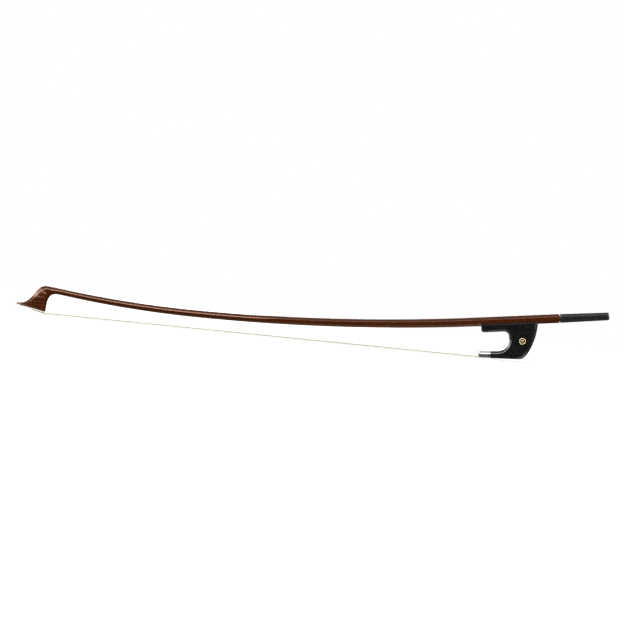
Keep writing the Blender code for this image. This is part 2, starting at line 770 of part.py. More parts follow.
def make_button(paints, screw):
    rings = [[(x, y, z) for y, z in section(flat, 1.0)] for x, flat in button_profile()]
    button = piece("button", loft(rings), paints["ebony"], screw)
    floor = NIPPLE_LENGTH + RUN_GAP
    seat = floor + COLLAR_WALL + GLUE_GAP
    start = BUTTON_FRONT - CUT_PAST
    recess = COLLAR_RADIUS + GLUE_GAP
    shank = SCREW_RADIUS + GLUE_GAP
    shank_end = BUTTON_FRONT + SHANK_IN_BUTTON + GLUE_GAP
    wide = [(start, 0.0), (start, recess), (seat, recess)]
    bore = wide + [(seat, shank), (shank_end, shank), (shank_end, 0.0)]
    half = TANG_ACROSS / 2 + GLUE_GAP
    tang = box(shank_end - CUT_PAST, shank_end + TANG_LENGTH + GLUE_GAP, half, -half, half)
    cut(button, tool("button_bore", turned(bore), screw), tool("tang_hole", tang, screw))
    rim = NIPPLE_RADIUS + RUN_GAP
    cup = [
        (BUTTON_FRONT, rim),
        (BUTTON_FRONT, COLLAR_RADIUS),
        (floor + COLLAR_WALL, COLLAR_RADIUS),
        (floor + COLLAR_WALL, BUSH_BORE),
        (floor, BUSH_BORE),
        (floor, rim),
    ]
    piece("button_collar", turned(cup), paints["silver"], screw)


# The frog: an outline whose edges are rounded by rings across the width

Edge = namedtuple("Edge", "place width depth softness inward", defaults=(None,))


def frog_outline(tongue):
    """The frog's side outline, anticlockwise from the top of the arm's tip, with its edges."""
    arm_under = -HANDLE_HALF - ARM_THICKNESS
    top = CHEEK_TOP + CUT_PAST
    small = 2 * SMALL_EDGE
    outline = [Edge(Vector((-ARM_REACH, top)), small, small, 1.0, Vector((1, 0)))]
    tip = Vector((ARM_TIP_RADIUS - ARM_REACH, arm_under + ARM_TIP_RADIUS))
    for i, place in enumerate(arc(tip, ARM_TIP_RADIUS, pi, 3 * pi / 2, CORNER_STEPS)):
        share = i / CORNER_STEPS
        outline.append(Edge(place, mix(small, ARM_EDGE, share), mix(small, SOFT_DEPTH, share), 1.0))
    outline += throat_edges(arm_under, tongue)
    front_top = tongue.outside(TONGUE_FRONT, tongue_top(TONGUE_FRONT))
    up = heading(pi / 2 - TONGUE_TILT)
    outline.append(Edge(front_top, TONGUE_EDGE, SOFT_DEPTH, 1.0, -up))
    outline.append(Edge(tongue.outside(TONGUE_FRONT, 0.0), SMALL_EDGE, SMALL_EDGE, 1.0, up))
    return outline + heel_edges(top, tongue)


def throat_edges(arm_under, tongue):
    """The edge round the throat, from the arm's underside to the top of the tongue."""
    upper = Vector((-THROAT_REACH - THROAT_TOP_RADIUS, arm_under - THROAT_TOP_RADIUS))
    slope = TONGUE_SPREAD - TONGUE_TILT
    lower_x = -THROAT_REACH - THROAT_LOW_RADIUS
    tongue_root = tongue.outside(0.0, tongue_top(0.0))
    floor = tongue_root.y + (lower_x - tongue_root.x) * tan(slope)
    lower = Vector((lower_x, floor + THROAT_LOW_RADIUS / cos(slope)))
    edges = []
    for i, place in enumerate(arc(upper, THROAT_TOP_RADIUS, pi / 2, 0.0, THROAT_STEPS)):
        edges.append(Edge(place, mix(ARM_EDGE, THROAT_EDGE, i / THROAT_STEPS), SOFT_DEPTH, 1.0))
    for i, place in enumerate(arc(lower, THROAT_LOW_RADIUS, 0.0, slope - pi / 2, THROAT_STEPS)):
        edges.append(Edge(place, mix(THROAT_EDGE, TONGUE_EDGE, i / THROAT_STEPS), SOFT_DEPTH, 1.0))
    return edges


def heel_edges(top, tongue):
    """The edge from the end of the flat base, up the heel's curve to the stick."""
    crown = Vector((HEEL_REACH, top))
    base = tongue.outside(BASE_LENGTH, 0.0)
    along = heading(-TONGUE_TILT)
    start = tongue.outside(BASE_LENGTH - HEEL_EDGE_START, 0.0)
    edges = [Edge(start, SMALL_EDGE, SMALL_EDGE, HEEL_SOFTNESS)]
    for i in range(HEEL_STEPS + 1):
        upper = crown - heading(pi / 2 - HEEL_LEAN) * HEEL_TOP_PULL
        place = bezier(base, base + along * HEEL_LOW_PULL, upper, crown, i / HEEL_STEPS)
        grown = min(HEEL_EDGE_AT_BASE + i / HEEL_STEPS, 1.0)
        inward = Vector((-1, 0)) if i == HEEL_STEPS else None
        edges.append(Edge(place, HEEL_EDGE * grown, HEEL_DEPTH * grown, HEEL_SOFTNESS, inward))
    return edges


def tongue_top(reach):
    """Height of the tongue over the frog's base at a distance behind the ferrule's front."""
    return FERRULE_HEIGHT + reach * tan(TONGUE_SPREAD)


def frog_shape(outline):
    """Rings across the frog, each drawn in from its outline by the share of its edge's profile."""
    inward = []
    for i, edge in enumerate(outline):
        before = (edge.place - outline[i - 1].place).normalized()
        after = (outline[(i + 1) % len(outline)].place - edge.place).normalized()
        along = (before + after).normalized()
        inward.append(edge.inward or Vector((-along.y, along.x)))
    rings = []
    for side, steps in ((-1, range(EDGE_STEPS, -1, -1)), (1, range(EDGE_STEPS + 1))):
        for step in steps:
            turn = pi / 2 * step / EDGE_STEPS
            ring = []
            for edge, normal in zip(outline, inward):
                drawn = edge.width * mix(step / EDGE_STEPS, 1 - cos(turn), edge.softness)
                out = edge.depth * mix(step / EDGE_STEPS, sin(turn), edge.softness)
                place = edge.place + normal * drawn
                ring.append((place.x, side * (FROG_WIDTH / 2 - edge.depth + out), place.y))
            rings.append(ring)
    return loft(rings)


def channel_section():
    """What is cut from the frog's top: the stick's channel, and the cheeks' sloping shoulders."""
    flat = CHANNEL_HALF * tan(pi / 8)
    inner = CHANNEL_HALF * sqrt(2) + CHEEK_TOP
    outer = FROG_WIDTH / 2 + CUT_PAST
    shoulder = CHEEK_TOP - CHEEK_FALL * (outer - inner) / (FROG_WIDTH / 2 - inner)
    high = CHEEK_TOP + 3 * CUT_PAST
    right = [(flat, -CHANNEL_HALF), (inner, CHEEK_TOP), (outer, shoulder), (outer, high)]
    return right + [(-y, z) for y, z in reversed(right)]


def dee(inset, reach, foot):
    """Section (y, z) across the tongue or ferrule: a flat foot, upright sides and an arched top."""
    half = FROG_WIDTH / 2 - inset
    deep = SOFT_DEPTH - inset
    tall = TONGUE_EDGE - inset
    top = tongue_top(reach) - inset
    right = [(half - SMALL_EDGE, foot), (half, foot + SMALL_EDGE)]
    for i in range(EDGE_STEPS + 1):
        turn = pi / 2 * i / EDGE_STEPS
        right.append((half - deep + deep * cos(turn), top - tall + tall * sin(turn)))
    return right + [(-y, z) for y, z in reversed(right)]


def tongue_shape():
    """The tongue that fills the ferrule, over the wedge and the hair."""
    inset = FERRULE_WALL + GLUE_GAP
    rings = []
    for reach in (GLUE_GAP, TONGUE_FRONT + CUT_PAST):
        rings.append([(reach, y, z) for y, z in dee(inset, reach, TONGUE_SOLE)])
    return loft(rings)


def hair_channel_shape():
    ceiling = HAIR_OVER_SLIDE + HAIR_HALF + GLUE_GAP
    start = TONGUE_FRONT - CUT_PAST
    end = POCKET_FRONT + POCKET_LENGTH
    start_half = SLIDE_WIDTH / 2 + GLUE_GAP
    return tapered(start, end, SLIDE_THICKNESS, ceiling, start_half, HAIR_POCKET_WIDTH / 2 + GLUE_GAP)


def dovetail_section(play):
    """Section (y, z) of the slide, or of its groove when there is play."""
    high = SLIDE_THICKNESS + play
    narrow = SLIDE_WIDTH / 2 + play
    wide = narrow + DOVETAIL
    low = -CUT_PAST if play else 0.0
    narrow += DOVETAIL * low / SLIDE_THICKNESS
    return [(-narrow, low), (narrow, low), (wide, high), (-wide, high)]


def eye_sockets(side):
    """The groove for the eye's ring and the hole for its dot, in one side of the frog."""
    start = FROG_WIDTH / 2 - EYE_THICKNESS - INLAY_SINK - GLUE_GAP
    end = FROG_WIDTH / 2 + CUT_PAST
    outer = EYE_DIAMETER / 2
    groove = tube(outer - EYE_RING_WALL - GLUE_GAP, outer + GLUE_GAP, start, end)
    hole = rod(EYE_DOT_DIAMETER / 2 + GLUE_GAP, start, end)
    shapes = {"ring": groove, "dot": hole}
    return {kind: pointed(shape, (0, side, 0), eye_centre()) for kind, shape in shapes.items()}


def eye_centre():
    return (EYE_REACH, 0.0, -HANDLE_HALF - EYE_DROP)


def liner_screw_places():
    return {"front": LINER_SCREW_INSET - ARM_REACH, "rear": HEEL_REACH - LINER_SCREW_INSET}


def liner_screw_shape(x, play):
    """A countersunk screw set down into the channel; with play it is the hole for one."""
    head = LINER_SCREW_HEAD / 2 + play
    shaft = LINER_SCREW_DIAMETER / 2 + play
    cone = (LINER_SCREW_HEAD - LINER_SCREW_DIAMETER) / 2
    start = -CUT_PAST if play else 0.0
    length = LINER_SCREW_LENGTH + play
    top = [(start, 0.0), (start, head)]
    if play:
        top.append((0.0, head))
    profile = top + [(cone, shaft), (length - shaft, shaft), (length, 0.0)]
    return pointed(turned(profile, SMALL_TURN_STEPS), (0, 0, -1), (x, 0.0, -UNDERSLIDE_INNER))


def make_frog(paints, frog, tongue):
    body = piece("frog_body", frog_shape(frog_outline(tongue)), paints["ebony"], frog)
    join(body, tool("frog_tongue", tongue_shape(), tongue))
    channel = bar(channel_section(), -ARM_REACH - CUT_PAST, HEEL_REACH + CUT_PAST)
    cut(body, tool("stick_channel", channel, frog))
    groove = bar(dovetail_section(GLUE_GAP), TONGUE_FRONT - CUT_PAST, TONGUE_FRONT + SLIDE_LENGTH + GLUE_GAP)
    cut(body, tool("slide_groove", groove, tongue))
    cut(body, tool("hair_channel", hair_channel_shape(), tongue))
    half = HAIR_POCKET_WIDTH / 2 + GLUE_GAP
    pocket = box(POCKET_FRONT, POCKET_FRONT + POCKET_LENGTH, half, SLIDE_THICKNESS, POCKET_DEPTH)
    cut(body, tool("hair_pocket", pocket, tongue))
    for name, side in SIDES.items():
        for kind, shape in eye_sockets(side).items():
            cut(body, tool(f"eye_{kind}_socket_{name}", shape, frog))
    make_underslide(body, paints, frog)


def make_underslide(body, paints, frog):
    """The metal lining of the channel, the screws that hold it and the eyelet's hole."""
    top = CHEEK_TOP + UNDERSLIDE_PROUD
    right = [(UNDERSLIDE_INNER * sqrt(2) + top, top), (UNDERSLIDE_OUTER * sqrt(2) + top, top)]
    right.append((UNDERSLIDE_OUTER * tan(pi / 8), -UNDERSLIDE_OUTER))
    flat = UNDERSLIDE_INNER * tan(pi / 8)
    section_points = [(-flat, -UNDERSLIDE_INNER), (flat, -UNDERSLIDE_INNER)] + right
    section_points += [(-y, z) for y, z in reversed(right)]
    lining = bar(section_points, GLUE_GAP - ARM_REACH, HEEL_REACH + UNDERSLIDE_PROUD)
    lining = piece("frog_liner", lining, paints["silver"], frog)
    depth = CHANNEL_HALF + EYELET_DEPTH + GLUE_GAP
    stem = rod(EYELET_STEM / 2 + GLUE_GAP, HANDLE_HALF, depth)
    hole = tool("eyelet_hole", pointed(stem, (0, 0, -1)), frog)
    cut(body, hole)
    cut(lining, hole)
    for end, x in liner_screw_places().items():
        seat = tool("liner_screw_seat_" + end, liner_screw_shape(x, GLUE_GAP), frog)
        cut(body, seat)
        cut(lining, seat)
        piece("liner_screw_" + end, liner_screw_shape(x, 0.0), paints["steel"], frog)


def make_eyelet(finish, frog):
    half = EYELET_LENGTH / 2
    ring = tube(BUSH_BORE, EYELET_RADIUS, -half, half)
    eyelet = piece("eyelet", ring, finish, frog)
    stem = rod(EYELET_STEM / 2, (BUSH_BORE + EYELET_RADIUS) / 2, CHANNEL_HALF + EYELET_DEPTH)
    join(eyelet, tool("eyelet_stem", pointed(stem, (0, 0, -1)), frog))


def make_eyes(paints, frog):
    outer = EYE_DIAMETER / 2
    face = FROG_WIDTH / 2 - INLAY_SINK
    for name, side in SIDES.items():
        ring = tube(outer - EYE_RING_WALL, outer, face - EYE_THICKNESS, face)
        piece("eye_ring_" + name, pointed(ring, (0, side, 0), eye_centre()), paints["brass"], frog)
        dot = rod(EYE_DOT_DIAMETER / 2, face - EYE_THICKNESS, face)
        piece("eye_pearl_" + name, pointed(dot, (0, side, 0), eye_centre()), paints["pearl"], frog)


def make_ferrule(paints, tongue):
    rings = []
    for inset, reaches in ((0.0, (0.0, FERRULE_LENGTH)), (FERRULE_WALL, (FERRULE_LENGTH, 0.0))):
        for reach in reaches:
            rings.append([(reach, y, z) for y, z in dee(inset, reach, inset)])
    piece("ferrule", loft(rings, closed=True), paints["silver"], tongue)
    half = HAIR_FERRULE_WIDTH / 2
    top = WEDGE_FOOT + WEDGE_THICKNESS
    wedge = loft([
        [(GLUE_GAP, y, z) for y, z in rectangle(half, WEDGE_FOOT, top)],
        [(WEDGE_LENGTH, y, z) for y, z in rectangle(half - WEDGE_TAPER, WEDGE_FOOT, top - WEDGE_TAPER)],
    ])
    piece("ferrule_wedge", wedge, paints["plug"], tongue)


def make_slide(paints, tongue):
    slide = bar(dovetail_section(0.0), TONGUE_FRONT, TONGUE_FRONT + SLIDE_LENGTH)
    slide = piece("slide", slide, paints["ebony"], tongue)
    start = TONGUE_FRONT + (SLIDE_LENGTH - PEARL_LENGTH) / 2
    end = start + PEARL_LENGTH
    half = PEARL_WIDTH / 2
    floor = INLAY_SINK + PEARL_THICKNESS + GLUE_GAP
    recess = box(start - GLUE_GAP, end + GLUE_GAP, half + GLUE_GAP, -CUT_PAST, floor)
    cut(slide, tool("pearl_recess", recess, tongue))
    pearl = box(start, end, half, INLAY_SINK, INLAY_SINK + PEARL_THICKNESS)
    piece("slide_pearl", pearl, paints["pearl"], tongue)


def make_pocket(paints, tongue):
    """The plug and the bound end of the hair in the frog."""
    start = POCKET_FRONT + GLUE_GAP
    end = POCKET_FRONT + POCKET_LENGTH - GLUE_GAP
    plug_low = HAIR_OVER_SLIDE + HAIR_HALF + GLUE_GAP
    plug_end = end - HAIR_THICKNESS - GLUE_GAP
    plug = box(start, plug_end, HAIR_POCKET_WIDTH / 2, plug_low, knot_floor() - GLUE_GAP)
    piece("frog_plug", plug, paints["plug"], tongue)
    knot = knot_shape(end - start, HAIR_POCKET_WIDTH)
    knot.transform(Matrix.Translation(((start + end) / 2, 0.0, knot_floor() + KNOT_HEIGHT / 2)))
    piece("frog_hair_knot", knot, paints["hair"], tongue)


def paints():
    return {
        "stick": paint("stick_lacquer", (0.12, 0.028, 0.012), 0.18),
        "ebony": paint("ebony", (0.012, 0.012, 0.013), 0.4),
        "plate": paint("tip_plate", (0.86, 0.84, 0.8), 0.35),
        "plug": paint("plug_wood", (0.55, 0.4, 0.24), 0.6),
        "hair": paint("horsehair", (0.8, 0.77, 0.6), 0.55),
        "steel": paint("steel", (0.55, 0.55, 0.56), 0.3, 1.0),
        "brass": paint("brass", (0.72, 0.53, 0.25), 0.3, 1.0),
        "silver": paint("nickel_silver", (0.7, 0.69, 0.67), 0.25, 1.0),
        "pearl": paint("mother_of_pearl", (0.82, 0.83, 0.78), 0.2),
    }


def main():
    clear_scene()
    finishes = paints()
    screw_x = STICK_END - LENGTH / 2
    screw = Frame("screw_axis", screw_x, STICK_END_HEIGHT, HANDLE_TILT)
    frog = Frame("frog_axis", -EYELET_FROM_END, 0.0, 0.0, screw)
    tongue = Frame("tongue_axis", -FERRULE_REACH, -FERRULE_DEPTH, -TONGUE_TILT, frog)
    hair_height = tongue.world(0.0, HAIR_IN_FERRULE).y
    plate_height = hair_height + HAIR_HALF + GLUE_GAP
    sole = Frame("sole_axis", HEAD_LENGTH - LENGTH / 2, plate_height, -SOLE_TILT)
    make_stick(finishes["stick"], sole, screw)
    make_sole(finishes, sole)
    make_screw(finishes, screw)
    make_button(finishes, screw)
    make_frog(finishes, frog, tongue)
    make_eyelet(finishes["brass"], frog)
    make_eyes(finishes, frog)
    make_ferrule(finishes, tongue)
    make_slide(finishes, tongue)
    make_pocket(finishes, tongue)
    piece("hair_ribbon", ribbon(hair_path(sole, tongue)), finishes["hair"])


main()
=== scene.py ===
import random
from collections import namedtuple
from math import asin, cos, pi, radians, sin, sqrt, tan

import bmesh
import bpy
from mathutils import Matrix, Vector


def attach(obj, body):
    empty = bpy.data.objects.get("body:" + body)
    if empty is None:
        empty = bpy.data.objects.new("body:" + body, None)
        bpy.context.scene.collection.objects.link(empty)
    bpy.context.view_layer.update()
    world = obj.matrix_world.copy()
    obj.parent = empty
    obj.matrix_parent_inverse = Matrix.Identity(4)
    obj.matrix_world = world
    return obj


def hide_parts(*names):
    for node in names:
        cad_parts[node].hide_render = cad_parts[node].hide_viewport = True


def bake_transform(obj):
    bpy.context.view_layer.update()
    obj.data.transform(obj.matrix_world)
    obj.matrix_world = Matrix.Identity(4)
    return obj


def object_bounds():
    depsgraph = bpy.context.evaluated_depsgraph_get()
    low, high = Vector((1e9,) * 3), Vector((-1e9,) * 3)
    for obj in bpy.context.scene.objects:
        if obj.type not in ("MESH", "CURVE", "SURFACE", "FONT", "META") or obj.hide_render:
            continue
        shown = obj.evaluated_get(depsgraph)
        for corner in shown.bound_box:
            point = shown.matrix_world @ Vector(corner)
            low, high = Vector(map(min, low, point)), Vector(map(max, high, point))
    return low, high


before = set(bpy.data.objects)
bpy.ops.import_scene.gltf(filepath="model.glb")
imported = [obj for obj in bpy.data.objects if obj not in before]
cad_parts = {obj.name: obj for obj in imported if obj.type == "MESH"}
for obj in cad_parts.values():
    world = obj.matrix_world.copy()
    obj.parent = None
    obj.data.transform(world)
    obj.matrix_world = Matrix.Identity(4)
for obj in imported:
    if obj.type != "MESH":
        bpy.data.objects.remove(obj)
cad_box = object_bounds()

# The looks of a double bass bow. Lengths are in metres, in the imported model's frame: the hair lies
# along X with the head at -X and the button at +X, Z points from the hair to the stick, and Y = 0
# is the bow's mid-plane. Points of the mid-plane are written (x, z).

# Fits, as in the solids
GLUE_GAP = 0.0002
RUN_GAP = 0.0003

# Stick
LOW_POINT = 0.235
HEAD_CAMBER = 1.45
HANDLE_CAMBER = 2.65
HANDLE_TILT = radians(8.1)
HANDLE_LENGTH = 0.1022
HANDLE_FLAT = 0.0117
WAIST_DIAMETER = 0.0094
NECK_AT = 0.058
NECK_DIAMETER = 0.0081
NECK_TAPER = 1.5
OCTAGON_LENGTH = 0.355
OCTAGON_FADE = 0.045
END_CHAMFER = 0.0003
CORNER_ROUNDING = 0.0007

# Head
HEAD_LENGTH = 0.0402
SLOPE_REACH = 0.0343
SLOPE_DROP = 0.0095
SLOPE_ANGLE = radians(56)
CREST_PULL = 0.022
UPPER_SLOPE_PULL = 0.018
LOWER_SLOPE_PULL = 0.0185
NOSE_PULL = 0.0055
NOSE_HEIGHT = 0.0024
THROAT_UPPER_PULL = 0.016
THROAT_LOWER_PULL = 0.0125
THROAT_ANGLE = radians(85)
HEAD_WIDTH = 0.0108
BROW_WIDTH = 0.0084
NOSE_WIDTH = 0.0056
NOSE_TIP_WIDTH = 0.0022
RIDGE_WIDTH = 0.0011
THROAT_STRIP = 0.0048
HEAD_BEVEL = 0.0048
HEAD_ROUNDING = 0.0006
ROUND_TO_BEVELLED = 0.45
ROUNDED_MOST = 0.45

# Sole of the head
SOLE_TILT = radians(9.1)
SOLE_ARCH = 0.0004
PLATE_THICKNESS = 0.0014
PLATE_LIP = 0.0022
PLATE_ROUNDING = 0.00025
LIP_LENGTH = 0.0025
LIP_ROUNDING = 0.0005
HEAD_LINER_THICKNESS = 0.0005
HEAD_MORTISE_FRONT = 0.017
HEAD_MORTISE_LENGTH = 0.011
HEAD_MORTISE_WIDTH = 0.0066
HEAD_MORTISE_DEPTH = 0.009

# Hair
HAIR_THICKNESS = 0.0011
HAIR_HEAD_WIDTH = 0.0086
HAIR_FERRULE_WIDTH = 0.0126
HAIR_POCKET_WIDTH = 0.0084
STRAND_RADIUS = 0.0001
STRANDS_ACROSS = 46
STRAND_LAYERS = 5
STRAND_ROOM = (0.1, 0.9)
STRAND_WANDER = 0.00012
STRAND_WAVES = (7, 3, 5, 2)
HAIR_SEED = 11
KNOT_HEIGHT = 0.0026
KNOT_TIP = 0.35
KNOT_WAIST = 0.9
KNOT_BULGE = 0.07
KNOT_WAVES = 34
KNOT_ROUGHNESS = 0.03
KNOT_SEED = 5
THREAD_RADIUS = 0.00016
THREAD_REACH = 0.32
THREAD_TURNS = 9

# Adjusting screw and button
SCREW_DIAMETER = 0.0036
JOURNAL_DIAMETER = 0.0026
SHANK_IN_BUTTON = 0.006
TANG_ACROSS = 0.0024
TANG_LENGTH = 0.026
BUSH_WALL = 0.0005
REAR_BUSH_LENGTH = 0.012
FRONT_BUSH_LENGTH = 0.008
NIPPLE_WALL = 0.0007
NIPPLE_LENGTH = 0.003
COLLAR_WALL = 0.0007
BUTTON_FRONT = 0.0012
BUTTON_LENGTH = 0.0649
BUTTON_FLAT = 0.0116
BUTTON_END_FLAT = 0.0102
BUTTON_ROUNDING = 0.0024
BUTTON_DOME = 0.0006
BUTTON_CORNER = 0.0006

# Eyelet and the slot it travels in
EYELET_FROM_END = 0.062
EYELET_LENGTH = 0.006
EYELET_WALL = 0.0014
EYELET_STEM = 0.0042
EYELET_DEPTH = 0.0095
SLACK_TRAVEL = 0.0049
TIGHT_TRAVEL = 0.0028
TRAVEL_CLEARANCE = 0.0008

# Frog
FROG_WIDTH = 0.015
ARM_REACH = 0.0398
ARM_THICKNESS = 0.00815
ARM_TIP_RADIUS = 0.0034
CHEEK_RISE = 0.0021
CHEEK_FALL = 0.0012
THROAT_REACH = 0.004
THROAT_TOP_RADIUS = 0.007
THROAT_LOW_RADIUS = 0.016
HEEL_REACH = 0.034
HEEL_LEAN = radians(5)
HEEL_TOP_PULL = 0.022
HEEL_LOW_PULL = 0.011
BASE_LENGTH = 0.053
FERRULE_REACH = 0.0453
FERRULE_DROP = 0.0408
TONGUE_TILT = radians(4.8)
TONGUE_SPREAD = radians(1.9)
SMALL_EDGE = 0.0004
ARM_EDGE = 0.0043
ARM_EDGE_AT_TIP = 0.55
ARM_EDGE_RUN = 0.009
THROAT_EDGE = 0.0027
TONGUE_EDGE = 0.0042
SOFT_DEPTH = 0.0046
HEEL_EDGE = 0.004
HEEL_DEPTH = 0.003
HEEL_SOFTNESS = 0.35
HEEL_EDGE_START = 0.007
HEEL_EDGE_AT_BASE = 0.75

# Inlays and what the frog holds
UNDERSLIDE_THICKNESS = 0.0005
LINER_SCREW_INSET = 0.006
LINER_SCREW_DIAMETER = 0.0016
LINER_SCREW_HEAD = 0.0026
LINER_SCREW_LENGTH = 0.0055
EYE_REACH = 0.0123
EYE_DROP = 0.02185
EYE_DIAMETER = 0.0086
EYE_RING_WALL = 0.0012
EYE_DOT_DIAMETER = 0.0034
EYE_THICKNESS = 0.0009
EYE_SOFTNESS = 0.00012
INLAY_SINK = 0.00005
FERRULE_LENGTH = 0.0147
FERRULE_HEIGHT = 0.009
FERRULE_WALL = 0.0005
FERRULE_RIM = 0.00012
WEDGE_THICKNESS = 0.0012
HAIR_CLIMB = 0.0038
SLIDE_LENGTH = 0.03
SLIDE_WIDTH = 0.0116
SLIDE_THICKNESS = 0.0014
DOVETAIL = 0.0006
POCKET_FRONT = 0.029
POCKET_LENGTH = 0.011
POCKET_DEPTH = 0.0078

# Braid under the lacquer
BRAID_LENGTH = 0.018
BRAIDS_AROUND = 4
BRAID_FADE = (0.2, 0.36)

# How finely curves are cut
CORNER_STEPS = 5
BEND_STEPS = 4
STICK_STATIONS = 240
HEAD_STATIONS = 84
HEEL_STEPS = 44
THROAT_STEPS = 28
TIP_STEPS = 12
EDGE_STEPS = 12
TURN_STEPS = 48
SOLE_STATIONS = 14
HAIR_STATIONS = 16
KNOT_STATIONS = 40
KNOT_SIDES = 24
THREAD_STEPS = 20
THREAD_SIDES = 6
SHARP_ANGLE = radians(33)
CUT_PAST = 0.001
MERGE = 1e-6
SIDES = {"left": 1, "right": -1}

# Sizes that follow from those above
HANDLE_HALF = HANDLE_FLAT / 2
HANDLE_START = LOW_POINT + HANDLE_CAMBER * sin(HANDLE_TILT)
STICK_END = HANDLE_START + HANDLE_LENGTH * cos(HANDLE_TILT)
FERRULE_DEPTH = HANDLE_HALF + FERRULE_DROP
SCREW_RADIUS = SCREW_DIAMETER / 2
BUSH_BORE = SCREW_RADIUS + RUN_GAP
BUSH_RADIUS = BUSH_BORE + BUSH_WALL
PILOT_RADIUS = JOURNAL_DIAMETER / 2 + RUN_GAP + BUSH_WALL
NIPPLE_RADIUS = BUSH_RADIUS + GLUE_GAP + NIPPLE_WALL
COLLAR_RADIUS = NIPPLE_RADIUS + RUN_GAP + COLLAR_WALL
EYELET_RADIUS = BUSH_BORE + EYELET_WALL
MORTISE_FRONT = -EYELET_FROM_END - EYELET_LENGTH / 2 - SLACK_TRAVEL - TRAVEL_CLEARANCE
MORTISE_BACK = -EYELET_FROM_END + EYELET_LENGTH / 2 + TIGHT_TRAVEL + TRAVEL_CLEARANCE
UNDERSLIDE_INNER = HANDLE_HALF + RUN_GAP
CHANNEL_HALF = UNDERSLIDE_INNER + UNDERSLIDE_THICKNESS + GLUE_GAP
CHEEK_TOP = CHEEK_RISE - HANDLE_HALF
WOOD_SOLE = PLATE_THICKNESS + HEAD_LINER_THICKNESS + 2 * GLUE_GAP
SOLE_LENGTH = (HEAD_LENGTH + LIP_ROUNDING * sin(SOLE_TILT)) / cos(SOLE_TILT)
WOOD_LENGTH = SOLE_LENGTH - LIP_LENGTH
HAIR_HALF = HAIR_THICKNESS / 2
HAIR_IN_FERRULE = FERRULE_WALL + GLUE_GAP + HAIR_HALF
HAIR_OVER_SLIDE = SLIDE_THICKNESS + GLUE_GAP + HAIR_HALF
TONGUE_FRONT = FERRULE_LENGTH + GLUE_GAP
TONGUE_SOLE = HAIR_IN_FERRULE + HAIR_HALF + 2 * GLUE_GAP + WEDGE_THICKNESS
BUTTON_BACK = BUTTON_FRONT + BUTTON_LENGTH
KNOT_FLOOR = POCKET_DEPTH - GLUE_GAP - KNOT_HEIGHT
EYE_PLACE = (EYE_REACH, 0.0, -HANDLE_HALF - EYE_DROP)


def mix(a, b, share):
    return a + (b - a) * share


def eased(share):
    share = min(max(share, 0.0), 1.0)
    return share * share * (3 - 2 * share)


def heading(angle):
    return at(cos(angle), sin(angle))


def at(x, z):
    return Vector((x, z))


def shares(steps):
    """Even shares from 0 to 1."""
    return [i / steps for i in range(steps + 1)]


def arc(centre, radius, first, last, steps):
    return [centre + heading(mix(first, last, share)) * radius for share in shares(steps)]


def quarter(steps):
    """Sines and cosines at even steps of a quarter turn."""
    return [(sin(pi / 2 * share), cos(pi / 2 * share)) for share in shares(steps)]


def bezier(start, first_pull, last_pull, end, share):
    left = 1 - share
    near = start * left**3 + first_pull * 3 * left**2 * share
    return near + last_pull * 3 * left * share**2 + end * share**3


class Axes:
    """Axes in the mid-plane that a group of pieces is drawn in."""

    def __init__(self, x, z, tilt):
        self.corner = at(x, z)
        self.tilt = tilt

    def world(self, x, z):
        return self.corner + heading(self.tilt) * x + heading(self.tilt + pi / 2) * z

    def put(self, shape):
        """Carries a shape that was drawn in these axes to its place in the model."""
        swing = Matrix.Rotation(-self.tilt, 4, "Y")
        shape.transform(Matrix.Translation((self.corner.x, 0.0, self.corner.y)) @ swing)
        return shape


# Where the solids put the stick's end, the eyelet, the ferrule's front and the plate's rear edge
SCREW = Axes(0.322034, 0.061303, HANDLE_TILT)
FROG = Axes(0.260652, 0.052567, HANDLE_TILT)
TONGUE = Axes(0.222377, 0.0, HANDLE_TILT - TONGUE_TILT)
SOLE = Axes(-0.347335, 0.001998, -SOLE_TILT)


# Meshes


def both_sides(points):
    """Points (y, z) of the right side, then their mirror images on the way back."""
    return [(y, z) for y, z in points] + [(-y, z) for y, z in reversed(points)]


def ring_at(x, points):
    return [(x, y, z) for y, z in points]


def skin(shape, rings, closed=False, runs=None, tone=None):
    """Adds a skin through rings of equally many points.

    With runs, each ring's place along the piece, it gets texture coordinates. Their second
    value is the way round the ring, or the tone where that is given.
    """
    uv = shape.loops.layers.uv.get("UVMap") or shape.loops.layers.uv.new("UVMap")
    rows = [[shape.verts.new(point) for point in ring] for ring in rings]
    pairs = [(i, i + 1) for i in range(len(rows) - 1)]
    if closed:
        pairs.append((len(rows) - 1, 0))
    else:
        shape.faces.new(reversed(rows[0]))
        shape.faces.new(rows[-1])
    count = len(rows[0])
    for a, b in pairs:
        for i in range(count):
            j = (i + 1) % count
            face = shape.faces.new((rows[a][i], rows[a][j], rows[b][j], rows[b][i]))
            if runs:
                corners = ((runs[a], i), (runs[a], i + 1), (runs[b], i + 1), (runs[b], i))
                for loop, (run, step) in zip(face.loops, corners):
                    loop[uv].uv = (run, step / count if tone is None else tone)
    return shape


def loft(rings, closed=False, runs=None):
    return skin(bmesh.new(), rings, closed, runs)


def rectangle(half, low, high):
    return [(-half, low), (half, low), (half, high), (-half, high)]


def bar(points, start, end):
    return loft([ring_at(x, points) for x in (start, end)])


def tapered(start, end, low, high, start_half, end_half):
    places = ((start, start_half), (end, end_half))
    return loft([ring_at(x, rectangle(half, low, high)) for x, half in places])


def box(start, end, half, low, high):
    return tapered(start, end, low, high, half, half)


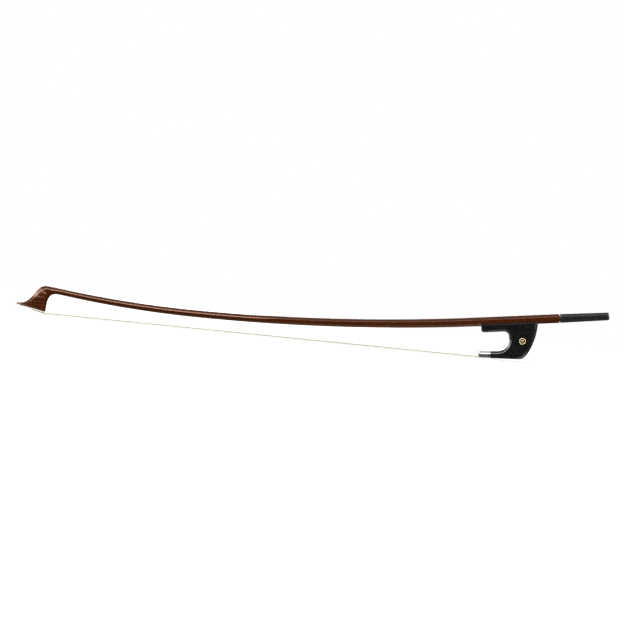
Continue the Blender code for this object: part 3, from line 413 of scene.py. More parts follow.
def turned(profile, steps=TURN_STEPS):
    """A solid turned about X from (x, radius) points; a profile off the axis closes into a tube."""
    shape = bmesh.new()
    points = [shape.verts.new((x, 0.0, radius)) for x, radius in profile]
    drawn = points + [shape.edges.new(pair) for pair in zip(points, points[1:])]
    if profile[0][1] > 0:
        drawn.append(shape.edges.new((points[-1], points[0])))
    bmesh.ops.spin(shape, geom=drawn, axis=(1, 0, 0), angle=2 * pi, steps=steps, use_merge=True)
    bmesh.ops.remove_doubles(shape, verts=shape.verts, dist=MERGE)
    return shape


def rod(radius, start, end):
    return turned([(start, 0.0), (start, radius), (end, radius), (end, 0.0)])


def tube(inner, outer, start, end):
    return turned([(start, inner), (end, inner), (end, outer), (start, outer)])


def pointed(shape, direction, place=(0, 0, 0)):
    """Swings a shape drawn along X to another direction, then moves it."""
    swing = Vector((1, 0, 0)).rotation_difference(Vector(direction)).to_matrix().to_4x4()
    shape.transform(Matrix.Translation(place) @ swing)
    return shape


def added(name, data):
    made = bpy.data.objects.new(name, data)
    bpy.context.scene.collection.objects.link(made)
    return made


def raw_object(name, shape):
    shape.normal_update()
    bmesh.ops.recalc_face_normals(shape, faces=shape.faces)
    data = bpy.data.meshes.new(name)
    shape.to_mesh(data)
    shape.free()
    return added(name, data)


def settle(made):
    """Applies the piece's modifiers."""
    graph = bpy.context.evaluated_depsgraph_get()
    data = bpy.data.meshes.new_from_object(made.evaluated_get(graph))
    made.modifiers.clear()
    made.data = data


def carve(made, shapes, operation="DIFFERENCE"):
    """Cuts shapes out of a piece, or joins them to it, and drops them."""
    tools = []
    for shape in shapes:
        other = raw_object("tool", shape)
        modifier = made.modifiers.new("carve", "BOOLEAN")
        modifier.operation = operation
        modifier.solver = "EXACT"
        modifier.object = other
        tools.append(other)
    settle(made)
    for other in tools:
        bpy.data.objects.remove(other, do_unlink=True)


def piece(name, shape, look, body, nodes=(), joins=(), cuts=()):
    """A finished piece that rides on a body and stands for some CAD nodes."""
    made = raw_object(name, shape)
    if joins:
        carve(made, joins, "UNION")
    if cuts:
        carve(made, cuts)
    made.data.shade_smooth()
    made.data.set_sharp_from_angle(angle=SHARP_ANGLE)
    weighted = made.modifiers.new("even", "WEIGHTED_NORMAL")
    weighted.keep_sharp = True
    settle(made)
    made.data.materials.clear()
    made.data.materials.append(look)
    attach(made, body)
    if nodes:
        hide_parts(*nodes)
    return made


# The stick and its head


def camber(along):
    """Height of the stick's axis over its lowest point, and its slope."""
    if along > HANDLE_START:
        straight = (along - HANDLE_START) * tan(HANDLE_TILT)
        return HANDLE_CAMBER * (1 - cos(HANDLE_TILT)) + straight, HANDLE_TILT
    reach = along - LOW_POINT
    radius = HANDLE_CAMBER if reach > 0 else HEAD_CAMBER
    return radius - sqrt(radius**2 - reach**2), asin(reach / radius)


def stick_axis(along):
    """Point of the stick's axis and its slope."""
    rise, slope = camber(along)
    end_rise, _ = camber(STICK_END)
    return SCREW.corner + at(along - STICK_END, rise - end_rise), slope


def stick_thickness(along):
    if along > LOW_POINT:
        share = (along - LOW_POINT) / (HANDLE_START - LOW_POINT)
        return mix(WAIST_DIAMETER, HANDLE_FLAT, min(share, 1.0))
    share = (LOW_POINT - along) / (LOW_POINT - NECK_AT)
    return mix(WAIST_DIAMETER, NECK_DIAMETER, share**NECK_TAPER)


def octagon_share(along):
    return eased((along - STICK_END + OCTAGON_LENGTH + OCTAGON_FADE) / OCTAGON_FADE)


def section(across, squareness, rounding=CORNER_ROUNDING):
    """Points (y, z) round a section: an octagon with rounded corners at 1, a circle at 0."""
    points = []
    spread = pi / 4 * CORNER_STEPS / (CORNER_STEPS + 1)
    reach = (across / 2 - rounding) / cos(pi / 8)
    for corner in range(8):
        middle = pi / 8 + corner * pi / 4
        for share in shares(CORNER_STEPS):
            aside = share - 0.5
            circle = heading(middle + aside * spread) * (across / 2)
            octagon = heading(middle) * reach + heading(middle + aside * pi / 4) * rounding
            down, out = mix(circle, octagon, squareness)
            points.append((out, -down))
    return points


def ring_on(centre, up, points):
    ring = []
    for y, z in points:
        place = centre + up * z
        ring.append((place.x, y, place.y))
    return ring


def stick_ring(along, shrink=0.0):
    centre, slope = stick_axis(along)
    points = section(stick_thickness(along) - 2 * shrink, octagon_share(along))
    return ring_on(centre, heading(slope + pi / 2), points)


def nipple_ring(reach, radius):
    centre, slope = stick_axis(STICK_END)
    points = section(2 * radius, 0.0)
    return ring_on(centre + heading(slope) * reach, heading(slope + pi / 2), points)


def head_front(share):
    """The head's front outline, from the top of the neck over the crest to the top of the nose."""
    centre, slope = stick_axis(NECK_AT)
    top = centre + heading(slope + pi / 2) * (NECK_DIAMETER / 2)
    middle = top - at(SLOPE_REACH, SLOPE_DROP)
    down = heading(SLOPE_ANGLE) * -1
    if share <= 0.5:
        crest = top - heading(slope) * CREST_PULL
        return bezier(top, crest, middle - down * UPPER_SLOPE_PULL, middle, 2 * share)
    nose = SOLE.world(-WOOD_LENGTH, WOOD_SOLE + NOSE_HEIGHT)
    hollow = nose + at(NOSE_PULL, 0.0)
    return bezier(middle, middle + down * LOWER_SLOPE_PULL, hollow, nose, 2 * share - 1)


def head_throat(share):
    centre, slope = stick_axis(NECK_AT)
    bottom = centre - heading(slope + pi / 2) * (NECK_DIAMETER / 2)
    corner = SOLE.world(0.0, WOOD_SOLE + SOLE_ARCH + CUT_PAST)
    upper = bottom - heading(slope) * THROAT_UPPER_PULL
    return bezier(bottom, upper, corner + heading(THROAT_ANGLE) * THROAT_LOWER_PULL, corner, share)


def head_corners(length, share):
    """Corners of a ring through the head, as (half width, distance from the throat)."""
    swell = eased(2 * share)
    thin = eased(2 * share - 1)
    cheek = mix(NECK_DIAMETER, HEAD_WIDTH, swell) / 2
    brow = mix(mix(NECK_DIAMETER, BROW_WIDTH, swell), NOSE_WIDTH, thin) / 2
    ridge = mix(RIDGE_WIDTH, NOSE_TIP_WIDTH, thin) / 2
    near = [(THROAT_STRIP / 2, 0.0), (cheek, HEAD_BEVEL)]
    near += [(brow, length - HEAD_BEVEL), (ridge, length)]
    return [Vector(corner) for corner in both_sides(near)]


def rounded_corner(corners, i, share):
    """A point of a polygon's corner after a curve has taken its edge off."""
    corner = corners[i]
    before = corners[i - 1] - corner
    after = corners[(i + 1) % len(corners)] - corner
    start = corner + before * min(HEAD_ROUNDING / before.length, ROUNDED_MOST)
    end = corner + after * min(HEAD_ROUNDING / after.length, ROUNDED_MOST)
    return mix(mix(start, corner, share), mix(corner, end, share), share)


def head_ring(low, high, share):
    """A ring of the head's skin, fanned between its throat and its front outline."""
    length = (high - low).length
    corners = head_corners(length, share)
    formed = eased(share / ROUND_TO_BEVELLED)
    points = []
    for i, (y, z) in enumerate(section(length, 0.0)):
        corner, step = divmod(i, CORNER_STEPS + 1)
        cornered = rounded_corner(corners, corner, step / CORNER_STEPS)
        points.append(mix(at(y, z + length / 2), cornered, formed))
    return ring_on(low, (high - low) / length, points)


def stick_shape():
    foot = WOOD_SOLE - CUT_PAST
    rings = [head_ring(SOLE.world(0.0, foot), SOLE.world(-WOOD_LENGTH, foot), 1.0)]
    runs = [0.0]
    for share in reversed(shares(HEAD_STATIONS)[1:]):
        rings.append(head_ring(head_throat(share), head_front(share), share))
        runs.append(NECK_AT * (1 - share))
    for share in shares(STICK_STATIONS):
        runs.append(mix(NECK_AT, STICK_END - END_CHAMFER, share))
        rings.append(stick_ring(runs[-1]))
    rings += [stick_ring(STICK_END, END_CHAMFER), nipple_ring(0.0, NIPPLE_RADIUS)]
    rings.append(nipple_ring(NIPPLE_LENGTH - END_CHAMFER, NIPPLE_RADIUS))
    rings.append(nipple_ring(NIPPLE_LENGTH, NIPPLE_RADIUS - END_CHAMFER))
    runs += [STICK_END, STICK_END, STICK_END + NIPPLE_LENGTH, STICK_END + NIPPLE_LENGTH]
    return loft(rings, runs=runs)


def screw_bore_shape():
    pilot = PILOT_RADIUS + GLUE_GAP
    clear = SCREW_RADIUS + 2 * RUN_GAP
    seat = BUSH_RADIUS + GLUE_GAP
    front = MORTISE_FRONT - FRONT_BUSH_LENGTH - CUT_PAST
    step = MORTISE_FRONT + CUT_PAST
    rear = NIPPLE_LENGTH - REAR_BUSH_LENGTH
    past = NIPPLE_LENGTH + CUT_PAST
    outline = [(front, 0.0), (front, pilot), (step, pilot), (step, clear)]
    return turned(outline + [(rear, clear), (rear, seat), (past, seat), (past, 0.0)])


def eyelet_mortise_shape():
    """A slot with rounded corners, as long as the eyelet and its travel."""
    radius = TRAVEL_CLEARANCE
    front = MORTISE_FRONT + radius
    back = MORTISE_BACK - radius
    half = EYELET_RADIUS + RUN_GAP
    inner = half - radius
    outline = []
    for i, centre in enumerate([(front, -inner), (back, -inner), (back, inner), (front, inner)]):
        turn = pi + i * pi / 2
        outline += arc(Vector(centre), radius, turn, turn + pi / 2, CORNER_STEPS)
    return loft([[(x, y, z) for x, y in outline] for z in (-HANDLE_HALF - CUT_PAST, half)])


def sole_trim_shape():
    under = [(x, WOOD_SOLE + sole_arch(x)) for x in sole_stops(-SOLE_LENGTH - CUT_PAST)]
    under[0] = (CUT_PAST, under[0][1])
    outline = under + [(under[-1][0], -CUT_PAST), (CUT_PAST, -CUT_PAST)]
    return loft([[(x, y, z) for x, z in outline] for y in (-HEAD_WIDTH, HEAD_WIDTH)])


def make_stick(looks):
    cuts = [SOLE.put(sole_trim_shape()), SOLE.put(head_mortise_shape())]
    cuts += [SCREW.put(eyelet_mortise_shape()), SCREW.put(screw_bore_shape())]
    look = looks["lacquer"]
    piece("stick_lacquered", stick_shape(), look, "stick", ["stick"], cuts=cuts)


# The sole of the head


def sole_arch(x):
    share = min(max(-x / SOLE_LENGTH, 0.0), 1.0)
    return SOLE_ARCH * 4 * share * (1 - share)


def sole_stops(front):
    stops = [mix(-HEAD_BEVEL, HEAD_BEVEL - WOOD_LENGTH, share) for share in shares(SOLE_STATIONS)]
    return [0.0] + stops + [front]


def sole_half_width(x):
    stops = [0.0, -HEAD_BEVEL, HEAD_BEVEL - WOOD_LENGTH, -WOOD_LENGTH]
    widths = [THROAT_STRIP, HEAD_WIDTH, NOSE_WIDTH, NOSE_TIP_WIDTH]
    for i in range(3):
        if x >= stops[i + 1]:
            return mix(widths[i], widths[i + 1], (x - stops[i]) / (stops[i + 1] - stops[i])) / 2
    return NOSE_TIP_WIDTH / 2


def plate_ring(x, half, low, high):
    """A ring across the plate whose lower edges are rounded off."""
    centre = at(half - PLATE_ROUNDING, low + PLATE_ROUNDING)
    right = arc(centre, PLATE_ROUNDING, -pi / 2, 0.0, BEND_STEPS)
    return ring_at(x, both_sides(right + [(half, high)]))


def plate_shape():
    rings = []
    for x in sole_stops(-WOOD_LENGTH):
        lift = sole_arch(x)
        rings.append(plate_ring(x, sole_half_width(x), lift, PLATE_THICKNESS + lift))
    half = NOSE_TIP_WIDTH / 2
    top = PLATE_THICKNESS + PLATE_LIP
    rings.append(plate_ring(-WOOD_LENGTH - GLUE_GAP, half, 0.0, top))
    for sine, cosine in quarter(CORNER_STEPS):
        x = LIP_ROUNDING * (1 - sine) - SOLE_LENGTH
        drawn = LIP_ROUNDING * (1 - cosine)
        rings.append(plate_ring(x, half - drawn, drawn, top - drawn))
    return loft(rings)


def head_mortise_shape():
    half = HEAD_MORTISE_WIDTH / 2
    back = HEAD_MORTISE_LENGTH - HEAD_MORTISE_FRONT
    return box(-HEAD_MORTISE_FRONT, back, half, -CUT_PAST, WOOD_SOLE + HEAD_MORTISE_DEPTH)


def make_plate(looks):
    shape = SOLE.put(plate_shape())
    cuts = [SOLE.put(head_mortise_shape())]
    piece("tip_plate", shape, looks["plate"], "stick", ["head_plate"], cuts=cuts)


# The hair


def hair_path():
    """The hank's middle and width, from the knot in the head to the knot in the frog."""
    bend = HAIR_THICKNESS
    leg = -HEAD_MORTISE_FRONT + GLUE_GAP + HAIR_HALF
    under = -GLUE_GAP - HAIR_HALF
    top = WOOD_SOLE + HEAD_MORTISE_DEPTH - KNOT_HEIGHT - 3 * GLUE_GAP
    narrow = HEAD_MORTISE_WIDTH - 2 * GLUE_GAP
    corner = at(leg + bend, under + SOLE_ARCH + bend)
    places = [at(leg, top)] + arc(corner, bend, pi, 1.5 * pi, CORNER_STEPS)
    path = [(SOLE.world(*place), narrow) for place in places]
    for share in reversed(shares(BEND_STEPS)):
        x = -share * HEAD_MORTISE_LENGTH
        path.append((SOLE.world(x, under + sole_arch(x)), mix(HAIR_HEAD_WIDTH, narrow, share)))
    start = path[-1][0]
    end = TONGUE.world(0.0, HAIR_IN_FERRULE)
    for share in shares(HAIR_STATIONS)[1:]:
        path.append((mix(start, end, share), mix(HAIR_HEAD_WIDTH, HAIR_FERRULE_WIDTH, share)))
    climb = TONGUE.world(FERRULE_LENGTH - HAIR_CLIMB, HAIR_IN_FERRULE)
    path.append((climb, HAIR_FERRULE_WIDTH))
    path.append((TONGUE.world(FERRULE_LENGTH, HAIR_OVER_SLIDE), SLIDE_WIDTH))
    back = POCKET_FRONT + POCKET_LENGTH - GLUE_GAP - HAIR_HALF
    corner = at(back - bend, HAIR_OVER_SLIDE + bend)
    places = arc(corner, bend, -pi / 2, 0.0, BEND_STEPS) + [at(back, KNOT_FLOOR - GLUE_GAP)]
    return path + [(TONGUE.world(*place), HAIR_POCKET_WIDTH) for place in places]


def across_path(path, i):
    """The direction out of the hank at a station, stretched where the path bends."""
    places = [place for place, _ in path]
    before = (places[i] - places[i - 1]).normalized() if i else None
    after = (places[i + 1] - places[i]).normalized() if i + 1 < len(path) else None
    before = before or after
    after = after or before
    along = (before + after).normalized()
    return at(-along.y, along.x) / along.dot(after)


def held(value, limit):
    return min(max(value, -limit), limit)


def strand_rings(path, outs, across, deep, draw):
    """Four-sided rings along one hair, which wanders a little between its ends."""
    rings = []
    sway = [draw.uniform(-1, 1) * STRAND_WANDER for _ in STRAND_WAVES]
    free = HAIR_HALF - STRAND_RADIUS
    for i, (place, width) in enumerate(path):
        share = i / (len(path) - 1)
        bends = [size * sin(waves * pi * share) for size, waves in zip(sway, STRAND_WAVES)]
        half = width / 2 - STRAND_RADIUS
        y = held(across * half + bends[0] + bends[1], half)
        lift = held(deep * free + bends[2] + bends[3], free)
        points = [(y + STRAND_RADIUS, 0.0), (y, STRAND_RADIUS)]
        points += [(y - STRAND_RADIUS, 0.0), (y, -STRAND_RADIUS)]
        rings.append(ring_on(place + outs[i] * lift, outs[i], points))
    return rings


def make_hair(looks):
    draw = random.Random(HAIR_SEED)
    path = hair_path()
    outs = [across_path(path, i) for i in range(len(path))]
    runs = [0.0]
    for (place, _), (following, _) in zip(path, path[1:]):
        runs.append(runs[-1] + (following - place).length)
    shape = bmesh.new()
    for layer in range(STRAND_LAYERS):
        for column in range(STRANDS_ACROSS):
            across = mix(-1, 1, (column + draw.uniform(*STRAND_ROOM)) / STRANDS_ACROSS)
            deep = mix(-1, 1, (layer + draw.uniform(*STRAND_ROOM)) / STRAND_LAYERS)
            tone = draw.random()
            skin(shape, strand_rings(path, outs, across, deep, draw), runs=runs, tone=tone)
    hair = raw_object("hair_strands", shape)
    hair.data.shade_smooth()
    hair.data.materials.append(looks["hair"])
    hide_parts("hair_ribbon")
    start = SOLE.world(0.0, 0.0)
    end = TONGUE.world(0.0, HAIR_IN_FERRULE)
    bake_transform(hair)


def knot_shape(length, width, draw):
    """The hank's bound end, an oval bundle that bulges between the turns of thread."""
    rings = []
    for share in shares(KNOT_STATIONS):
        swell = min(1.0, 6 * share + KNOT_TIP, 6 * (1 - share) + KNOT_TIP)
        bulge = KNOT_WAIST + KNOT_BULGE * sin(share * KNOT_WAVES)
        tall = (KNOT_HEIGHT / 2 - THREAD_RADIUS) * swell * bulge
        wide = width / KNOT_HEIGHT * tall
        ring = []
        for j in range(KNOT_SIDES):
            rough = 1 + draw.uniform(-KNOT_ROUGHNESS, KNOT_ROUGHNESS)
            out = heading(2 * pi * j / KNOT_SIDES) * rough
            ring.append((wide * out.x, tall * out.y))
        rings.append(ring_at((share - 0.5) * length, ring))
    return loft(rings)


def thread_shape(length, width):
    """Thread wound round the knot's middle."""
    rings = []
    for share in shares(THREAD_TURNS * THREAD_STEPS):
        normal = heading(2 * pi * THREAD_TURNS * share)
        x = mix(-THREAD_REACH, THREAD_REACH, share) * length
        y = normal.x * (width / 2 - THREAD_RADIUS)
        z = normal.y * (KNOT_HEIGHT / 2 - THREAD_RADIUS)
        ring = []
        for j in range(THREAD_SIDES):
            side = heading(2 * pi / THREAD_SIDES * j) * THREAD_RADIUS
            ring.append((x + side.x, y + normal.x * side.y, z + normal.y * side.y))
        rings.append(ring)
    return loft(rings)


def make_knots(looks):
    draw = random.Random(KNOT_SEED)
    ceiling = WOOD_SOLE + HEAD_MORTISE_DEPTH - GLUE_GAP
    in_head = (HEAD_MORTISE_LENGTH / 2 - HEAD_MORTISE_FRONT, ceiling - KNOT_HEIGHT / 2)
    in_frog = (POCKET_FRONT + POCKET_LENGTH / 2, KNOT_FLOOR + KNOT_HEIGHT / 2)
    narrow = HEAD_MORTISE_WIDTH - 2 * GLUE_GAP
    places = [
        ("head", "stick", SOLE, in_head, HEAD_MORTISE_LENGTH, narrow),
        ("frog", "frog", TONGUE, in_frog, POCKET_LENGTH, HAIR_POCKET_WIDTH),
    ]
    for name, body, axes, (x, z), room, width in places:
        knot = knot_shape(room - 2 * GLUE_GAP, width, draw)
        thread = thread_shape(room - 2 * GLUE_GAP, width)
        for shape in (knot, thread):
            shape.transform(Matrix.Translation((x, 0.0, z)))
            axes.put(shape)
        piece(f"{name}_knot_hair", knot, looks["hair"], body, [f"{name}_hair_knot"])
        piece(f"{name}_knot_thread", thread, looks["thread"], body)


# The button


def button_profile():
    """Places along the button with its width across flats there."""
    start = BUTTON_FRONT + END_CHAMFER
    shoulder = BUTTON_BACK - BUTTON_DOME - BUTTON_ROUNDING
    profile = [(BUTTON_FRONT, BUTTON_FLAT - 2 * END_CHAMFER), (start, BUTTON_FLAT)]
    for sine, cosine in quarter(EDGE_STEPS):
        flat = BUTTON_END_FLAT - 2 * BUTTON_ROUNDING * (1 - cosine)
        profile.append((shoulder + BUTTON_ROUNDING * sine, flat))
    crown = BUTTON_END_FLAT - 2 * BUTTON_ROUNDING
    for share in (0.8, 0.6, 0.4, 0.2):
        profile.append((BUTTON_BACK - BUTTON_DOME * share**2, crown * share))
    return profile


def make_button(looks):
    rings = []
    for x, flat in button_profile():
        rings.append(ring_at(x, section(flat, 1.0, min(BUTTON_CORNER, flat / 4))))
    seat = NIPPLE_LENGTH + RUN_GAP + COLLAR_WALL + GLUE_GAP
    start = BUTTON_FRONT - CUT_PAST
    recess = COLLAR_RADIUS + GLUE_GAP
    shank = SCREW_RADIUS + GLUE_GAP
    end = BUTTON_FRONT + SHANK_IN_BUTTON + GLUE_GAP
    bore = [(start, 0.0), (start, recess), (seat, recess), (seat, shank), (end, shank), (end, 0.0)]
    half = TANG_ACROSS / 2 + GLUE_GAP
    tang = box(end - CUT_PAST, end + TANG_LENGTH + GLUE_GAP, half, -half, half)
    cuts = [SCREW.put(turned(bore)), SCREW.put(tang)]
    shape = SCREW.put(loft(rings))
    piece("button_ebony", shape, looks["button"], "button", ["button"], cuts=cuts)


# The frog

Edge = namedtuple("Edge", "place width depth softness inward", defaults=(1.0, None))


# Places a point of the tongue's axes in the frog's
on_tongue = Axes(-FERRULE_REACH, -FERRULE_DEPTH, -TONGUE_TILT).world


def tongue_top(reach):
    return FERRULE_HEIGHT + reach * tan(TONGUE_SPREAD)


def frog_outline():
    """The frog's side outline, anticlockwise from the top of the arm's tip, with its edges."""
    arm_under = -HANDLE_HALF - ARM_THICKNESS
    top = CHEEK_TOP + CUT_PAST
    small = 2 * SMALL_EDGE
    outline = [Edge(at(-ARM_REACH, top), small, small, inward=at(1, 0))]
    tip = at(ARM_TIP_RADIUS - ARM_REACH, arm_under + ARM_TIP_RADIUS)
    places = arc(tip, ARM_TIP_RADIUS, pi, 1.5 * pi, TIP_STEPS)
    grown = [ARM_EDGE_AT_TIP * share for share in shares(TIP_STEPS)]
    for share in shares(TIP_STEPS)[1:]:
        places.append(at(tip.x + ARM_EDGE_RUN * share, arm_under))
        grown.append(mix(ARM_EDGE_AT_TIP, 1.0, eased(share)))
    for place, share in zip(places, grown):
        outline.append(Edge(place, mix(small, ARM_EDGE, share), mix(small, SOFT_DEPTH, share)))
    outline += throat_edges(arm_under)
    up = heading(pi / 2 - TONGUE_TILT)
    shoulder = on_tongue(TONGUE_FRONT, tongue_top(TONGUE_FRONT))
    outline.append(Edge(shoulder, TONGUE_EDGE, SOFT_DEPTH, inward=-up))
    outline.append(Edge(on_tongue(TONGUE_FRONT, 0.0), SMALL_EDGE, SMALL_EDGE, inward=up))
    return outline + heel_edges(top)


def throat_edges(arm_under):
    upper = at(-THROAT_REACH - THROAT_TOP_RADIUS, arm_under - THROAT_TOP_RADIUS)
    slope = TONGUE_SPREAD - TONGUE_TILT
    lower_x = -THROAT_REACH - THROAT_LOW_RADIUS
    root = on_tongue(0.0, tongue_top(0.0))
    floor = root.y + (lower_x - root.x) * tan(slope)
    lower = at(lower_x, floor + THROAT_LOW_RADIUS / cos(slope))
    down = arc(upper, THROAT_TOP_RADIUS, pi / 2, 0.0, THROAT_STEPS)
    forward = arc(lower, THROAT_LOW_RADIUS, 0.0, slope - pi / 2, THROAT_STEPS)
    edges = []
    for places, first, last in ((down, ARM_EDGE, THROAT_EDGE), (forward, THROAT_EDGE, TONGUE_EDGE)):
        for place, share in zip(places, shares(THROAT_STEPS)):
            edges.append(Edge(place, mix(first, last, share), SOFT_DEPTH))
    return edges


def heel_edges(top):
    crown = at(HEEL_REACH, top)
    base = on_tongue(BASE_LENGTH, 0.0)
    lower = base + heading(-TONGUE_TILT) * HEEL_LOW_PULL
    upper = crown - heading(pi / 2 - HEEL_LEAN) * HEEL_TOP_PULL
    start = on_tongue(BASE_LENGTH - HEEL_EDGE_START, 0.0)
    edges = [Edge(start, SMALL_EDGE, SMALL_EDGE, HEEL_SOFTNESS)]
    for share in shares(HEEL_STEPS):
        place = bezier(base, lower, upper, crown, share)
        grown = min(HEEL_EDGE_AT_BASE + share, 1.0)
        inward = at(-1, 0) if share == 1.0 else None
        edges.append(Edge(place, HEEL_EDGE * grown, HEEL_DEPTH * grown, HEEL_SOFTNESS, inward))
    return edges


def frog_shape(outline):
    """Rings across the frog, each drawn in from its outline by the share of its edge's profile."""
    inward = []
    for i, edge in enumerate(outline):
        before = (edge.place - outline[i - 1].place).normalized()
        after = (outline[(i + 1) % len(outline)].place - edge.place).normalized()
        along = (before + after).normalized()
        inward.append(edge.inward or at(-along.y, along.x))
    rings = []
    profile = list(zip(shares(EDGE_STEPS), quarter(EDGE_STEPS)))
    for side, steps in ((-1, reversed(profile)), (1, profile)):
        for share, (sine, cosine) in steps:
            ring = []
            for edge, normal in zip(outline, inward):
                place = edge.place + normal * edge.width * mix(share, 1 - cosine, edge.softness)
                sunk = edge.depth * (1 - mix(share, sine, edge.softness))
                ring.append((place.x, side * (FROG_WIDTH / 2 - sunk), place.y))
            rings.append(ring)
    return loft(rings)


def channel_section():
    flat = CHANNEL_HALF * tan(pi / 8)
    inner = CHANNEL_HALF * sqrt(2) + CHEEK_TOP
    outer = FROG_WIDTH / 2 + CUT_PAST
    shoulder = CHEEK_TOP - CHEEK_FALL * (outer - inner) / (FROG_WIDTH / 2 - inner)
    high = CHEEK_TOP + 3 * CUT_PAST
    return both_sides([(flat, -CHANNEL_HALF), (inner, CHEEK_TOP), (outer, shoulder), (outer, high)])


def dee(inset, reach, foot):
    """Section (y, z) across the tongue or ferrule: a flat foot, upright sides and an arched top."""
    half = FROG_WIDTH / 2 - inset
    deep = SOFT_DEPTH - inset
    tall = TONGUE_EDGE - inset
    top = tongue_top(reach) - inset
    corner = max(SMALL_EDGE - inset, SMALL_EDGE / 2)
    right = arc(at(half - corner, foot + corner), corner, -pi / 2, 0.0, CORNER_STEPS)
    for sine, cosine in quarter(EDGE_STEPS):
        right.append((half - deep + deep * cosine, top - tall + tall * sine))
    return both_sides(right)


def tongue_shape():
    inset = FERRULE_WALL + GLUE_GAP
    reaches = (GLUE_GAP, TONGUE_FRONT + CUT_PAST)
    return loft([ring_at(reach, dee(inset, reach, TONGUE_SOLE)) for reach in reaches])


def groove_section():
    high = SLIDE_THICKNESS + GLUE_GAP
    narrow = SLIDE_WIDTH / 2 + GLUE_GAP
    wide = narrow + DOVETAIL
    foot = narrow - DOVETAIL * CUT_PAST / SLIDE_THICKNESS
    return [(-foot, -CUT_PAST), (foot, -CUT_PAST), (wide, high), (-wide, high)]


def frog_cavities():
    """What the slide, the hair and its knot take out of the frog's lower side."""
    ceiling = HAIR_OVER_SLIDE + HAIR_HALF + GLUE_GAP
    start = TONGUE_FRONT - CUT_PAST
    end = POCKET_FRONT + POCKET_LENGTH
    half = HAIR_POCKET_WIDTH / 2 + GLUE_GAP
    groove = bar(groove_section(), start, TONGUE_FRONT + SLIDE_LENGTH + GLUE_GAP)
    channel = tapered(start, end, SLIDE_THICKNESS, ceiling, SLIDE_WIDTH / 2 + GLUE_GAP, half)
    pocket = box(POCKET_FRONT, end, half, SLIDE_THICKNESS, POCKET_DEPTH)
    return [TONGUE.put(shape) for shape in (groove, channel, pocket)]


def eye_sockets():
    start = FROG_WIDTH / 2 - EYE_THICKNESS - INLAY_SINK - GLUE_GAP
    end = FROG_WIDTH / 2 + CUT_PAST
    outer = EYE_DIAMETER / 2
    made = []
    for side in SIDES.values():
        groove = tube(outer - EYE_RING_WALL - GLUE_GAP, outer + GLUE_GAP, start, end)
        hole = rod(EYE_DOT_DIAMETER / 2 + GLUE_GAP, start, end)
        made += [pointed(shape, (0, side, 0), EYE_PLACE) for shape in (groove, hole)]
    return made


def screw_seats():
    head = LINER_SCREW_HEAD / 2 + GLUE_GAP
    shaft = LINER_SCREW_DIAMETER / 2 + GLUE_GAP
    cone = (LINER_SCREW_HEAD - LINER_SCREW_DIAMETER) / 2
    length = LINER_SCREW_LENGTH + GLUE_GAP
    profile = [(-CUT_PAST, 0.0), (-CUT_PAST, head), (0.0, head), (cone, shaft)]
    profile += [(length, shaft), (length, 0.0)]
    places = (LINER_SCREW_INSET - ARM_REACH, HEEL_REACH - LINER_SCREW_INSET)
    return [pointed(turned(profile), (0, 0, -1), (x, 0.0, -UNDERSLIDE_INNER)) for x in places]


def make_frog(looks):
    channel = bar(channel_section(), -ARM_REACH - CUT_PAST, HEEL_REACH + CUT_PAST)
    stem_end = CHANNEL_HALF + EYELET_DEPTH + GLUE_GAP
    stem = rod(EYELET_STEM / 2 + GLUE_GAP, HANDLE_HALF, stem_end)
    cuts = [channel, pointed(stem, (0, 0, -1))] + eye_sockets() + screw_seats()
    cuts = [FROG.put(shape) for shape in cuts] + frog_cavities()
    shape = FROG.put(frog_shape(frog_outline()))
    joins = [TONGUE.put(tongue_shape())]
    piece("frog_ebony", shape, looks["ebony"], "frog", ["frog_body"], joins, cuts)


def make_eyes(looks):
    """A ring and a low-domed dot, both with softened rims."""
    outer = EYE_DIAMETER / 2
    inner = outer - EYE_RING_WALL
    dot = EYE_DOT_DIAMETER / 2
    face = FROG_WIDTH / 2 - INLAY_SINK
    back = face - EYE_THICKNESS
    rim = face - EYE_SOFTNESS
    hoop = [(back, outer), (rim, outer), (face, outer - EYE_SOFTNESS)]
    hoop += [(face, inner + EYE_SOFTNESS), (rim, inner), (back, inner)]
    dome = [(back, 0.0), (back, dot), (rim, dot), (face - EYE_SOFTNESS / 3, dot - EYE_SOFTNESS)]
    dome += [(face, dot / 2), (face, 0.0)]
    for name, side in SIDES.items():
        ring, pearl = turned(hoop, 2 * TURN_STEPS), turned(dome)
        for shape in (ring, pearl):
            FROG.put(pointed(shape, (0, side, 0), EYE_PLACE))
        nodes = [f"eye_ring_{name}"]
        piece(f"eye_ring_gilt_{name}", ring, looks["gold"], "frog", nodes)
        nodes = [f"eye_pearl_{name}"]
        piece(f"eye_dot_pearl_{name}", pearl, looks["gold_pearl"], "frog", nodes)


def make_ferrule(looks):
    """The D-shaped tube, its rims rounded where a finger meets them."""
    rim = FERRULE_RIM
    far = FERRULE_LENGTH
    wall = [(rim, 0.0), (0.0, rim), (0.0, far - rim), (rim, far), (FERRULE_WALL - rim, far)]
    wall += [(FERRULE_WALL, far - rim), (FERRULE_WALL, rim), (FERRULE_WALL - rim, 0.0)]
    rings = [ring_at(reach, dee(inset, reach, inset)) for inset, reach in wall]
    shape = TONGUE.put(loft(rings, closed=True))
    piece("ferrule_silver", shape, looks["silver"], "frog", ["ferrule"])


# Materials


